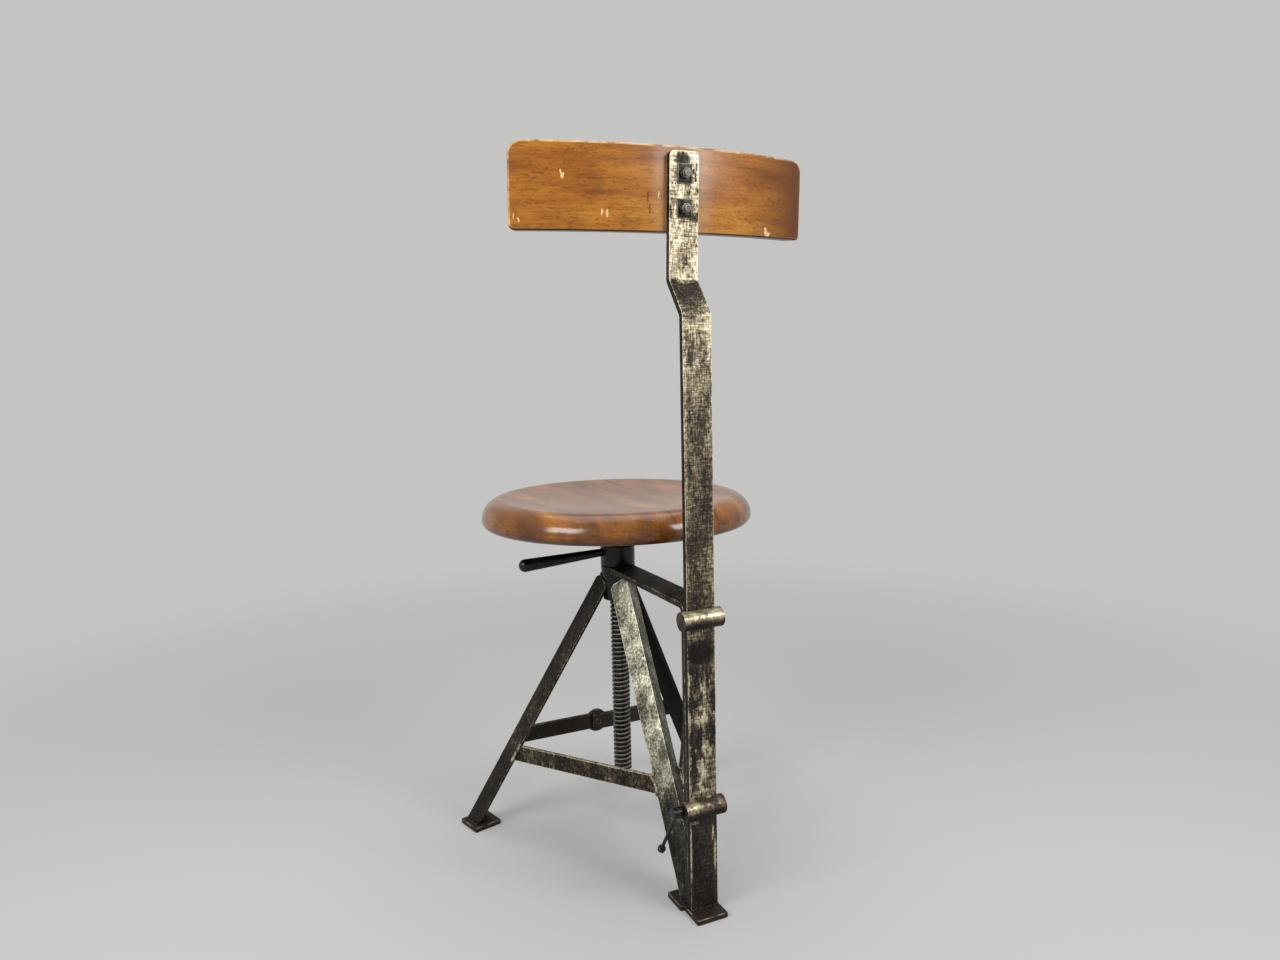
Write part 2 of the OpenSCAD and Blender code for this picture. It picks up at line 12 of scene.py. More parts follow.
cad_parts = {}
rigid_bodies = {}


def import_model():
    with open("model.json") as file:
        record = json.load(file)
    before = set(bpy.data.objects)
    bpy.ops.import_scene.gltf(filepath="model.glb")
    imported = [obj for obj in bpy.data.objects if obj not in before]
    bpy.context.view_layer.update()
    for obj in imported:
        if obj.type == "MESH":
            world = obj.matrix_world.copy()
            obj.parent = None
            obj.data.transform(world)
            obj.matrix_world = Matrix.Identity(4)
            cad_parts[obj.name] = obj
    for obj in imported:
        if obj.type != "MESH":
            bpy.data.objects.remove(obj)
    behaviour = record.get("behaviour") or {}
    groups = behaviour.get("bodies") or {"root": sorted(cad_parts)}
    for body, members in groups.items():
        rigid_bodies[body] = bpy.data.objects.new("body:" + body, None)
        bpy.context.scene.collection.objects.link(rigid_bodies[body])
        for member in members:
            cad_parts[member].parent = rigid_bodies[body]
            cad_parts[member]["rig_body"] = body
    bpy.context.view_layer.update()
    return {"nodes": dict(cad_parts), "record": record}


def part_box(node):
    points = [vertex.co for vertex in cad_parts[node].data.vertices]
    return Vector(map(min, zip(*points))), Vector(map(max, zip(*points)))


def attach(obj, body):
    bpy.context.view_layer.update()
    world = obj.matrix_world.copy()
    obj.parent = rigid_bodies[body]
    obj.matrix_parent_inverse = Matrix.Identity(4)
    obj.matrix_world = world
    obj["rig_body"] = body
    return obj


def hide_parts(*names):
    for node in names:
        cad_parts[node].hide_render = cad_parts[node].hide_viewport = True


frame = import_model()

MM = 0.001
slot_of = {part["node"]: part["material_slot"] for part in frame["record"]["subparts"]}

# Places taken from the construction
hub_low, hub_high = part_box("hub")
seat_low, seat_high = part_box("seat")
spindle_low, spindle_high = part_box("spindle")
plate_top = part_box("rear_foot_plate")[1].z
AXIS = (hub_low + hub_high) / 2 * Vector((1, 1, 0))

# The camera, measured from the spindle's axis on the floor, with its bearing from the rear (+Y) towards +X
CAMERA_BEARING = 23.56
CAMERA_DISTANCE = 1.2112
CAMERA_HEIGHT = 0.643
CAMERA_PITCH = 7.68
CAMERA_PAN = 1.50
CAMERA_ROLL = -1.262
FOCAL_PIXELS = 935.1
PICTURE_WIDTH = 1280
SENSOR_WIDTH = 36.0

# Two soft boxes and a wide one overhead: bearing, distance, height, size and power
SOFT_BOXES = {
    "left_box": (68, 1.55, 1.25, (0.80, 0.62), 19),
    "right_box": (-28, 1.55, 1.25, (0.74, 0.60), 17),
    "top_box": (200, 0.3, 2.2, (1.6, 1.6), 16),
}
BOX_AIM_HEIGHT = 0.5
AMBIENT_STRENGTH = 0.72

# The floor, and the ring in which it fades into the backdrop
FLOOR_COLOUR = "#bababa"
BACKDROP_COLOUR = "#c4c4c3"
FLOOR_RADIUS = 14
FLOOR_FADE_START = 0.5
FLOOR_FADE_END = 1.9
FLOOR_GLOW = 0.28

# Flat bars
BAR_WIDTH = 35 * MM
BAR_THICKNESS = 7 * MM
STRETCHER_HEIGHT = 22 * MM
LEFT_STRETCHER_DROP = 12 * MM

# Angle-iron legs, with the bearing of each from the rear (+Y) towards +X
REAR_LEG = 0
LEFT_LEG = 120
RIGHT_LEG = -120
ANGLE_WIDTH = 25 * MM
LEG_FOOT_R = 224.5 * MM
LEG_HEAD_R = 20 * MM

# Board of the backrest, in the leaning frame of the post's top, whose origin is in the middle of the bar
BACK_PLACE = Vector((0, 163.15, 816)) * MM
BACK_LEAN = math.radians(3.1)
BACK_FRAME = Matrix.Translation(BACK_PLACE) @ Matrix.Rotation(-BACK_LEAN, 4, "X")
BOARD_WIDTH = 362 * MM
BOARD_HEIGHT = 90 * MM
BOARD_THICKNESS = 20 * MM
BOARD_REAR_RADIUS = 424 * MM
BOARD_TOP_CORNER = 15 * MM
BOARD_BOTTOM_CORNER = 6 * MM
BOARD_EDGE_ROUND = 2.2 * MM
BOARD_STRIPS = 60

# Backrest bolts
BOLT_DROP = 2 * MM
BOLT_SPACING = 36 * MM
BOLT_RADIUS = 3 * MM
BOLT_STANDOUT = 3 * MM
WASHER_THICKNESS = 1.5 * MM
NUT_HEIGHT = 5 * MM
BOLT_REACH = BAR_THICKNESS / 2 + WASHER_THICKNESS + NUT_HEIGHT + BOLT_STANDOUT

# Screw spindle, and its thread's profile: outwards in shares of the depth, upwards in shares of the pitch
SPINDLE_RADIUS = 12 * MM
THREAD_PITCH = 6 * MM
THREAD_DEPTH = 1.8 * MM
THREAD_TOP_Z = 396.5 * MM
THREAD_PROFILE = [
    (0, 0.0), (0, 0.12), (0.5, 0.22), (0.88, 0.32), (1, 0.44),
    (1, 0.56), (0.88, 0.68), (0.5, 0.78), (0, 0.88), (0, 1.0),
]

# Seat
SEAT_THICKNESS = 35 * MM
SEAT_TOP_ROUND = 26 * MM
SEAT_BOTTOM_ROUND = 9 * MM
SEAT_DISH = 8 * MM
SEAT_GRAIN_BEARING = math.radians(-95)

# Weld beads: half widths, and where the seams lie
HUB_BEAD = 2.1 * MM
STRETCHER_BEAD = 1.9 * MM
FOOT_BEAD = 2.0 * MM
GUIDE_BEAD = 1.5 * MM
HUB_LOW_RADIUS = 20 * MM
HUB_TAPER = 2.5 * MM
HUB_ARM_RADIUS = 22 * MM
HUB_SEAM_HEIGHTS = [356.5, 354.5, 352.5, 350.8, 349.6]
ARM_SEAM_OFFSETS = [-16, -8, 0, 8, 16]
ARM_SEAM_DROP = 0.5 * MM
FLANGE_SEAM_GAP = 0.4 * MM
SECOND_SEAM_GAP = 2.8 * MM
LEFT_SEAM_RISE = 2 * MM
FOOT_SEAM_RISE = 0.4 * MM
REAR_FOOT_SEAM_START = 14 * MM
UPRIGHT_SEAM_INSET = 3.2 * MM
UPRIGHT_SEAM_GAP = 0.8 * MM
UPRIGHT_SEAM_RISE = 0.6 * MM
GUIDE_SEAM_INSET = 5 * MM
GUIDE_SEAM_DEPTH = 4.5 * MM
GUIDE_SEAM_GAP = 0.6 * MM

# How near to a cut a point is taken as on it, and the angle in degrees from which an edge is rounded
CUT_GAP = 0.001 * MM
SHARP_ANGLE = 28


def direction(bearing, pitch=0.0):
    """Unit vector at a bearing from +Y towards +X, pitched downwards, both in degrees."""
    turn = math.radians(bearing)
    dip = math.radians(pitch)
    return Vector((math.sin(turn) * math.cos(dip), math.cos(turn) * math.cos(dip), -math.sin(dip)))


def make_camera():
    """Places the camera from its bearing, distance and height, and turns it by its pan, pitch and roll."""
    place = AXIS + direction(CAMERA_BEARING) * CAMERA_DISTANCE + Vector((0, 0, CAMERA_HEIGHT))
    forward = direction(CAMERA_BEARING + 180 + CAMERA_PAN, CAMERA_PITCH)
    right = forward.cross(Vector((0, 0, 1))).normalized()
    up = right.cross(forward)
    roll = math.radians(CAMERA_ROLL)
    tilted_right = right * math.cos(roll) + up * math.sin(roll)
    tilted_up = up * math.cos(roll) - right * math.sin(roll)
    camera = bpy.data.objects.new("camera", bpy.data.cameras.new("camera"))
    bpy.context.scene.collection.objects.link(camera)
    camera.matrix_world = (
        Matrix.Translation(place) @ Matrix((tilted_right, tilted_up, -forward)).transposed().to_4x4()
    )
    camera.data.sensor_width = SENSOR_WIDTH
    camera.data.lens = SENSOR_WIDTH * FOCAL_PIXELS / PICTURE_WIDTH
    bpy.context.scene.camera = camera


def make_lights():
    """Soft boxes, all aimed at the chair's middle."""
    for name, (bearing, distance, height, size, power) in SOFT_BOXES.items():
        lamp = bpy.data.lights.new(name, "AREA")
        lamp.shape = "RECTANGLE"
        lamp.size, lamp.size_y = size
        lamp.energy = power
        holder = bpy.data.objects.new(name, lamp)
        bpy.context.scene.collection.objects.link(holder)
        holder.location = AXIS + direction(bearing) * distance + Vector((0, 0, height))
        aim = AXIS + Vector((0, 0, BOX_AIM_HEIGHT)) - holder.location
        holder.rotation_euler = aim.to_track_quat("-Z", "Y").to_euler()


# Shaders


def colour(hex_text):
    """Linear RGBA of an sRGB colour written as six hex digits."""
    parts = [int(hex_text[i:i + 2], 16) / 255 for i in (1, 3, 5)]
    linear = [c / 12.92 if c <= 0.04045 else ((c + 0.055) / 1.055) ** 2.4 for c in parts]
    return (*linear, 1)


def add(tree, kind, inputs=None, stops=None, **settings):
    """Adds a shader node with its settings and links.

    An input is named, or numbered among the shown ones. It takes a value, a hex colour, a socket or a node,
    and a node feeds it from its first shown output. Stops fill a colour ramp.
    """
    made = tree.nodes.new("ShaderNode" + kind)
    for key, value in settings.items():
        setattr(made, key, value)
    shown = [socket for socket in made.inputs if socket.enabled]
    for key, value in (inputs or {}).items():
        socket = shown[key] if isinstance(key, int) else made.inputs[key]
        if isinstance(value, bpy.types.Node):
            value = next(output for output in value.outputs if output.enabled)
        if isinstance(value, bpy.types.NodeSocket):
            tree.links.new(value, socket)
        else:
            socket.default_value = colour(value) if isinstance(value, str) else value
    if stops:
        ramp = made.color_ramp.elements
        while len(ramp) < len(stops):
            ramp.new(1.0)
        for element, (position, value) in zip(ramp, stops):
            element.position = position
            element.color = colour(value) if isinstance(value, str) else (value, value, value, 1)
    return made


def new_material(name):
    """A material with no nodes yet, and its node tree."""
    material = bpy.data.materials.new(name)
    material.use_nodes = True
    material.node_tree.nodes.clear()
    return material, material.node_tree


def pattern(tree, place, size, low=0.35, high=0.65, detail=5, coarse=0.6, stretch=(1, 1, 1), shift=0.0):
    """Blotches about size millimetres across, from 0 to 1. A stretch below 1 draws them out that way."""
    start = (shift, 1.7 * shift, 2.3 * shift)
    mapped = add(tree, "Mapping", {"Vector": place, "Scale": stretch, "Location": start})
    noise = add(tree, "TexNoise", {
        "Vector": mapped, "Scale": 1 / (size * MM), "Detail": detail, "Roughness": coarse,
    })
    return add(tree, "MapRange", {"Value": noise, "From Min": low, "From Max": high})


def edge_wear_and_highlight(tree, reach, low=0.80, high=0.99):
    """1 on the rounded strips along a piece's edges, fading beside them, and 0 on flats.

    It fades where a normal rounded over the reach, in millimetres, still turns from the true one.
    """
    rounded = add(tree, "Bevel", {"Radius": reach * MM}, samples=6)
    true = add(tree, "NewGeometry").outputs["Normal"]
    turn = add(tree, "VectorMath", {0: rounded, 1: true}, operation="DOT_PRODUCT")
    beside = add(tree, "MapRange", {"Value": turn, "From Min": high, "From Max": low})
    strip = add(tree, "Attribute", attribute_name="edge_strip").outputs["Fac"]
    return add(tree, "Math", {0: beside, 1: strip}, operation="MAXIMUM")


def spots(tree, place, marks, ragged, soft=0.15):
    """A few oval marks with rims ragged by so many millimetres, each with its strength inside.

    A mark is its x and z, its half sizes along x and z, all in millimetres, and its strength. Soft is how
    far the rim fades, as a share of the half sizes. The rags are about 2 mm long.
    """
    noise = add(tree, "TexNoise", {"Vector": place, "Scale": 0.45 / MM, "Detail": 3})
    wander = add(tree, "VectorMath", {0: noise.outputs["Color"], 1: (0.5, 0.5, 0.5)}, operation="SUBTRACT")
    moved = add(tree, "VectorMath", {0: wander, 1: (ragged * MM,) * 3, 2: place}, operation="MULTIPLY_ADD")
    total = None
    for x, z, half_x, half_z, strength in marks:
        offset = add(tree, "VectorMath", {0: moved, 1: (x * MM, 0, z * MM)}, operation="SUBTRACT")
        per_half = (1 / (half_x * MM), 0, 1 / (half_z * MM))
        share = add(tree, "VectorMath", {0: offset, 1: per_half}, operation="MULTIPLY")
        far = add(tree, "VectorMath", {0: share}, operation="LENGTH").outputs["Value"]
        inside = add(tree, "MapRange", {
            "Value": far, "From Min": 1 + soft, "From Max": 1 - soft, "To Max": strength,
        })
        total = inside if total is None else add(tree, "Math", {0: total, 1: inside}, operation="MAXIMUM")
    return total


def facing_up(tree):
    """Height of the surface's normal: 1 on level tops, 0 on upright sides and -1 on undersides."""
    normal = add(tree, "NewGeometry").outputs["Normal"]
    return add(tree, "SeparateXYZ", {0: normal}).outputs["Z"]


# Tones of brushed mild steel, from old black scale to bare metal under clear lacquer
BAR_TONES = ["#0f0d0b", "#26211c", "#453d32", "#7f735c", "#bcb195", "#e0dac2"]
LEG_TONES = ["#0f0e0c", "#262520", "#464338", "#7f7c6a", "#b5b29d", "#e4e1ce"]
DARK_TONES = ["#0b0a08", "#171512", "#29241c", "#4a4133", "#85795f", "#c4bb9c"]
TONE_STEPS = [0.0, 0.22, 0.42, 0.60, 0.80, 1.0]

# How far the borders between black and bare lengths wander, and where the flakes and the worn sides are
LEVEL_WANDER = 6 * MM
FLAKES_LOW = 120 * MM
FLAKES_HIGH = 300 * MM
FLAKES_FADE = 15 * MM
SIDES_MIDDLE = 1.5 * MM
SIDES_START = 10 * MM
SIDES_FULL = 16 * MM


def bareness_by_height(tree, place, levels, shift):
    """How bare the steel is, from pairs of a height in millimetres and a number, with wandering borders."""
    wander = pattern(tree, place, 14, shift=shift)
    height = add(tree, "SeparateXYZ", {0: place}).outputs["Z"]
    moved = add(tree, "Math", {0: wander, 1: 2 * LEVEL_WANDER, 2: height}, operation="MULTIPLY_ADD")
    top = levels[-1][0]
    share = add(tree, "MapRange", {
        "Value": moved, "From Min": LEVEL_WANDER, "From Max": top * MM + LEVEL_WANDER,
    })
    return add(tree, "ValToRGB", {0: share}, stops=[(z / top, bareness) for z, bareness in levels])


def worn_sides(tree, place):
    """1 along both sides of a bar's wide face, and 0 down its middle."""
    across = add(tree, "SeparateXYZ", {0: place}).outputs["X"]
    offset = add(tree, "Math", {0: across, 1: SIDES_MIDDLE}, operation="SUBTRACT")
    offset = add(tree, "Math", {0: offset}, operation="ABSOLUTE")
    return add(tree, "MapRange", {"Value": offset, "From Min": SIDES_START, "From Max": SIDES_FULL})


def torn_flakes(tree, place, shift):
    """Pale flakes with sharp rims, between two heights."""
    torn = pattern(tree, place, 8, 0.51, 0.57, 6, 0.65, (1, 1, 0.4), shift + 0.3)
    height = add(tree, "SeparateXYZ", {0: place}).outputs["Z"]
    for end, inwards in ((FLAKES_LOW, FLAKES_FADE), (FLAKES_HIGH, -FLAKES_FADE)):
        inside = add(tree, "MapRange", {"Value": height, "From Min": end, "From Max": end + inwards})
        torn = add(tree, "Math", {0: torn, 1: inside}, operation="MULTIPLY")
    return torn


def faces_towards(tree, towards):
    """1 on faces that look along a direction, and 0 on those turned well away from it."""
    normal = add(tree, "NewGeometry").outputs["Normal"]
    alike = add(tree, "VectorMath", {0: normal, 1: tuple(towards)}, operation="DOT_PRODUCT")
    return add(tree, "MapRange", {"Value": alike.outputs["Value"], "From Min": 0.55, "From Max": 0.9})


def worn_steel(name, level, tones, patches=0.3, mottle=0.3, grain=3.2, hatch=0.18, edges=0.3, sides=0.0,
               flakes=0.0, painted_facing_light=(), marks=(), scuffs=(), bare_roughness=0.5, shift=0.0):
    """Mild steel flat and angle, wire-brushed and lacquered.

    Black scale is left in the pits and low places, and bare satin metal shows on the high ones and along the
    edges, crossed by brush marks; the pale lines along the edges also stand for a painted highlight. The
    real
    marks are finer: these are drawn as coarse as they need to show. The level of bareness is one number, or
    pairs of a height in millimetres and a number. The list of facing directions paints light and shade:
    faces turned that way get painted shade, blacker by an amount, or a painted highlight, barer, where it is
    negative.
    """
    material, tree = new_material(name)
    place = add(tree, "TexCoord").outputs["Object"]
    if isinstance(level, list):
        level = bareness_by_height(tree, place, level, shift)
    blotches = pattern(tree, place, 24, 0.36, 0.64, 7, 0.62, (1, 1, 0.45), shift)
    grains = pattern(tree, place, grain, 0.34, 0.66, 5, 0.62, (1, 1, 0.6), shift)
    upright_brush = pattern(tree, place, 1.5, 0.36, 0.66, 2, 0.5, (1, 1, 0.10), shift)
    cross_brush = pattern(tree, place, 1.5, 0.36, 0.66, 2, 0.5, (0.12, 0.12, 1), shift)
    broken = add(tree, "MapRange", {"Value": grains, "To Min": 0.45, "To Max": 1.0})
    # Pale lines along the edges: rubbed bare metal, and also a painted highlight on the rounded strips
    edge_line = add(tree, "Math", {0: edge_wear_and_highlight(tree, 2.0), 1: broken}, operation="MULTIPLY")
    terms = [
        (blotches, patches), (grains, mottle), (upright_brush, hatch), (cross_brush, hatch),
        (edge_line, edges),
    ]
    if sides:
        side_band = add(tree, "Math", {0: worn_sides(tree, place), 1: broken}, operation="MULTIPLY")
        terms.append((side_band, sides))
    if flakes:
        terms.append((torn_flakes(tree, place, shift), flakes))
    # Painted shade on faces turned along each direction, blacker by the amount; a negative amount paints a
    # highlight, barer
    for towards, amount in painted_facing_light:
        terms.append((faces_towards(tree, towards), -amount))
    if marks:
        terms.append((spots(tree, place, marks, 4.0, 0.3), -1.0))
    if scuffs:
        terms.append((spots(tree, place, scuffs, 2.0, 0.3), 1.0))
    wear = add(tree, "Math", {0: level, 1: (patches + mottle) / 2 + hatch}, operation="SUBTRACT")
    for term, amount in terms:
        wear = add(tree, "Math", {0: term, 1: amount, 2: wear}, operation="MULTIPLY_ADD")
    tone = add(tree, "ValToRGB", {0: wear}, stops=list(zip(TONE_STEPS, tones)))
    bloom = pattern(tree, place, 18, 0.5, 0.7, shift=shift + 0.9)
    darkness = add(tree, "MapRange", {"Value": wear, "From Min": 0.6, "From Max": 0.15, "To Max": 0.45})
    bloom = add(tree, "Math", {0: bloom, 1: darkness}, operation="MULTIPLY")
    tone = add(tree, "Mix", {0: bloom, 1: tone, 2: "#33221a"}, data_type="RGBA")
    metal = add(tree, "MapRange", {
        "Value": wear, "From Min": 0.2, "From Max": 0.9, "To Min": 0.1, "To Max": 0.7,
    })
    roughness = add(tree, "MapRange", {
        "Value": wear, "From Min": 0.1, "From Max": 0.9, "To Min": 0.55, "To Max": bare_roughness,
    })
    bump = add(tree, "Bump", {"Height": grains, "Strength": 0.3, "Distance": 0.2 * MM})
    shader = add(tree, "BsdfPrincipled", {
        "Base Color": tone, "Metallic": metal, "Roughness": roughness, "Specular IOR Level": 0.2,
        "Normal": bump,
    })
    add(tree, "OutputMaterial", {"Surface": shader})
    return material


def blackened_steel():
    """Turned steel blackened with oil: blue-black and satin, with a brown bloom and pale rubbed rims."""
    material, tree = new_material("blackened_steel")
    place = add(tree, "TexCoord").outputs["Object"]
    bloom = pattern(tree, place, 14, 0.40, 0.68)
    worn = add(tree, "Math", {0: edge_wear_and_highlight(tree, 1.0), 1: pattern(tree, place, 6)}, operation="MULTIPLY")
    worn = add(tree, "Math", {0: worn, 1: 0.55}, operation="MULTIPLY")
    body = add(tree, "Mix", {0: bloom, 1: "#08080a", 2: "#181613"}, data_type="RGBA")
    body = add(tree, "Mix", {0: worn, 1: body, 2: "#6d6957"}, data_type="RGBA")
    roughness = add(tree, "MapRange", {"Value": bloom, "To Min": 0.24, "To Max": 0.40})
    shader = add(tree, "BsdfPrincipled", {
        "Base Color": body, "Metallic": 0.2, "Roughness": roughness, "Specular IOR Level": 0.4,
    })
    add(tree, "OutputMaterial", {"Surface": shader})
    return material


def rusty_steel():
    """Hot-rolled plate, black-brown with dry rust: dull and granular, with a thin pale line along rims."""
    material, tree = new_material("rusty_steel")
    place = add(tree, "TexCoord").outputs["Object"]
    patches = pattern(tree, place, 15, 0.38, 0.62)
    grains = pattern(tree, place, 2.4, 0.36, 0.66)
    broken = pattern(tree, place, 8, 0.42, 0.6)
    rim = add(tree, "Math", {0: edge_wear_and_highlight(tree, 1.3), 1: broken}, operation="MULTIPLY")
    body = add(tree, "Mix", {0: patches, 1: "#0f0d0b", 2: "#211913"}, data_type="RGBA")
    for mask, amount, tint in ((grains, 0.4, "#3d2f22"), (rim, 0.75, "#9a937a")):
        share = add(tree, "Math", {0: mask, 1: amount}, operation="MULTIPLY")
        body = add(tree, "Mix", {0: share, 1: body, 2: tint}, data_type="RGBA")
    bump = add(tree, "Bump", {"Height": grains, "Strength": 0.6, "Distance": 0.4 * MM})
    shader = add(tree, "BsdfPrincipled", {
        "Base Color": body, "Roughness": 0.55, "Specular IOR Level": 0.25, "Normal": bump,
    })
    add(tree, "OutputMaterial", {"Surface": shader})
    return material


def thread_steel():
    """Machine-cut thread under grease: black in the grooves, bright metal along the crests, also a painted
    highlight.
    """
    material, tree = new_material("thread_steel")
    place = add(tree, "TexCoord").outputs["Object"]
    out = add(tree, "VectorMath", {0: place, 1: tuple(AXIS)}, operation="SUBTRACT")
    level = add(tree, "VectorMath", {0: out, 1: (1, 1, 0)}, operation="MULTIPLY")
    radius = add(tree, "VectorMath", {0: level}, operation="LENGTH").outputs["Value"]
    crest = add(tree, "MapRange", {
        "Value": radius,
        "From Min": SPINDLE_RADIUS - THREAD_DEPTH * 0.16,
        "From Max": SPINDLE_RADIUS - 0.05 * MM,
    })
    worn = add(tree, "Math", {0: crest, 1: pattern(tree, place, 9, 0.2, 0.7)}, operation="MULTIPLY")
    # Pale crests: bare metal, and a painted highlight
    body = add(tree, "Mix", {0: worn, 1: "#060505", 2: "#a8a192"}, data_type="RGBA")
    metal = add(tree, "MapRange", {"Value": worn, "To Min": 0.1, "To Max": 0.8})
    shader = add(tree, "BsdfPrincipled", {"Base Color": body, "Metallic": metal, "Roughness": 0.26})
    add(tree, "OutputMaterial", {"Surface": shader})
    return material


def fastener_steel(name, dark, light):
    """Cold-formed bolts and washers, dull dark zinc gone grey-brown; the pale rims and thread crests are
    rubbed metal and a painted highlight.
    """
    material, tree = new_material(name)
    place = add(tree, "TexCoord").outputs["Object"]
    body = add(tree, "Mix", {0: pattern(tree, place, 3.5), 1: dark, 2: light}, data_type="RGBA")
    # Pale rims and crests: rubbed metal, and a painted highlight ringing the nuts and bolt ends
    worn = add(tree, "Math", {0: edge_wear_and_highlight(tree, 0.7, 0.80, 0.98), 1: 0.9}, operation="MULTIPLY")
    body = add(tree, "Mix", {0: worn, 1: body, 2: "#c4bfae"}, data_type="RGBA")
    shader = add(tree, "BsdfPrincipled", {
        "Base Color": body, "Metallic": 0.4, "Roughness": 0.40, "Specular IOR Level": 0.3,
    })
    add(tree, "OutputMaterial", {"Surface": shader})
    return material


# Cracks in the seat's top, in millimetres from its middle: along the grain, across it, half sizes, depth
SEAT_CRACKS = [
    (-110, 55, 30, 1.5, 0.9), (-43, 74, 24, 1.3, 0.8), (10, 30, 13, 2.2, 0.7), (148, -16, 24, 1.1, 0.85),
    (180, -35, 9, 1.1, 0.8), (160, 45, 14, 1.2, 0.8), (-16, -92, 15, 2.2, 0.6), (-137, -73, 8, 2.2, 0.6),
    (60, 92, 18, 1.5, 0.6),
]


def seat_wood():
    """Solid beech under old amber varnish: glossy, grain from front to back, thin cracks, a rim darkened by
    streaks that are partly painted shade, and painted shade on the underside.

    The fibres are drawn coarser than real ones, so that they show.
    """
    material, tree = new_material("seat_wood")
    place = add(tree, "TexCoord").outputs["Object"]
    centred = add(tree, "Mapping", {"Vector": place, "Location": tuple(-AXIS)})
    along = add(tree, "Mapping", {"Vector": centred, "Rotation": (0, 0, SEAT_GRAIN_BEARING)})
    split = add(tree, "SeparateXYZ", {0: along})
    laid = add(tree, "CombineXYZ", {"X": split.outputs["X"], "Z": split.outputs["Y"]})
    cracks = spots(tree, laid, SEAT_CRACKS, 3.0, 0.4)
    growth = pattern(tree, along, 26, 0.3, 0.7, 5, 0.55, (0.16, 1, 0.5))
    fibres = pattern(tree, along, 1.7, 0.42, 0.72, 4, 0.6, (0.05, 1, 0.3))
    smudges = pattern(tree, place, 30, 0.50, 0.80, shift=0.6)
    streaks = pattern(tree, place, 11, 0.40, 0.66, 6, 0.68, (0.55, 0.55, 2.2), 0.8)
    up = facing_up(tree)
    # Dark streaks kept to the rim; they also paint the rim darker than the top, as painted shade
    on_rim = add(tree, "MapRange", {"Value": up, "From Min": 0.75, "From Max": 0.2, "To Max": 0.82})
    # Painted shade on faces turned down: the underside and the low part of the rim
    painted_underside_shade = add(tree, "MapRange", {"Value": up, "From Min": 0.05, "From Max": -0.75, "To Max": 0.8})
    body = add(tree, "ValToRGB", {0: growth}, stops=[
        (0.0, "#552e08"), (0.35, "#77440d"), (0.7, "#905715"), (1.0, "#a56c22"),
    ])
    for mask, amount, tint in (
        (fibres, 0.4, "#4c240c"), (smudges, 0.6, "#3d1d0a"), (cracks, 1.0, "#140904"),
        (streaks, on_rim, "#3a1f08"), (painted_underside_shade, 1.0, "#2a1508"),
    ):
        share = add(tree, "Math", {0: mask, 1: amount}, operation="MULTIPLY")
        body = add(tree, "Mix", {0: share, 1: body, 2: tint}, data_type="RGBA")
    bump = add(tree, "Bump", {"Height": fibres, "Strength": 0.10, "Distance": 0.2 * MM})
    shader = add(tree, "BsdfPrincipled", {
        "Base Color": body, "Roughness": 0.5, "Specular IOR Level": 0.1,
        "Coat Weight": 1.0, "Coat Roughness": 0.18, "Coat IOR": 1.45, "Normal": bump,
    })
    add(tree, "OutputMaterial", {"Surface": shader})
    return material


# Chips, painted reflections and scratches on the board's rear face, in millimetres from its middle: along
# the bend, up, half sizes, strength
BOARD_CHIPS = [
    (127, 10, 1.8, 3.0, 1.0), (129, 14, 0.9, 2.0, 1.0), (87, -26, 1.3, 3.4, 0.8), (81.5, -27, 1.3, 4.0, 0.8),
    (25.5, -6.6, 0.8, 3.8, 0.9), (-117, -38, 2.0, 4.5, 0.9), (-121, -41, 3.5, 2.2, 0.9),
    (177, -31, 0.8, 3.6, 0.7), (172, -35, 1.0, 2.6, 0.7), (-96, 46.5, 20, 1.8, 0.8), (-60, 48, 8, 1.5, 0.7),
]
# Soft pale patches beside the post: painted reflections of the room in the varnish
BOARD_PAINTED_REFLECTIONS = [(22, 0, 8, 60, 0.16), (-24, 2, 11, 60, 0.26)]
BOARD_SCRATCHES = [
    (37.8, -9, 0.7, 7, 0.8), (35.6, -21, 0.7, 7, 0.8), (150, 12, 7, 1.2, 0.35), (100, 8, 14, 1.0, 0.3),
]


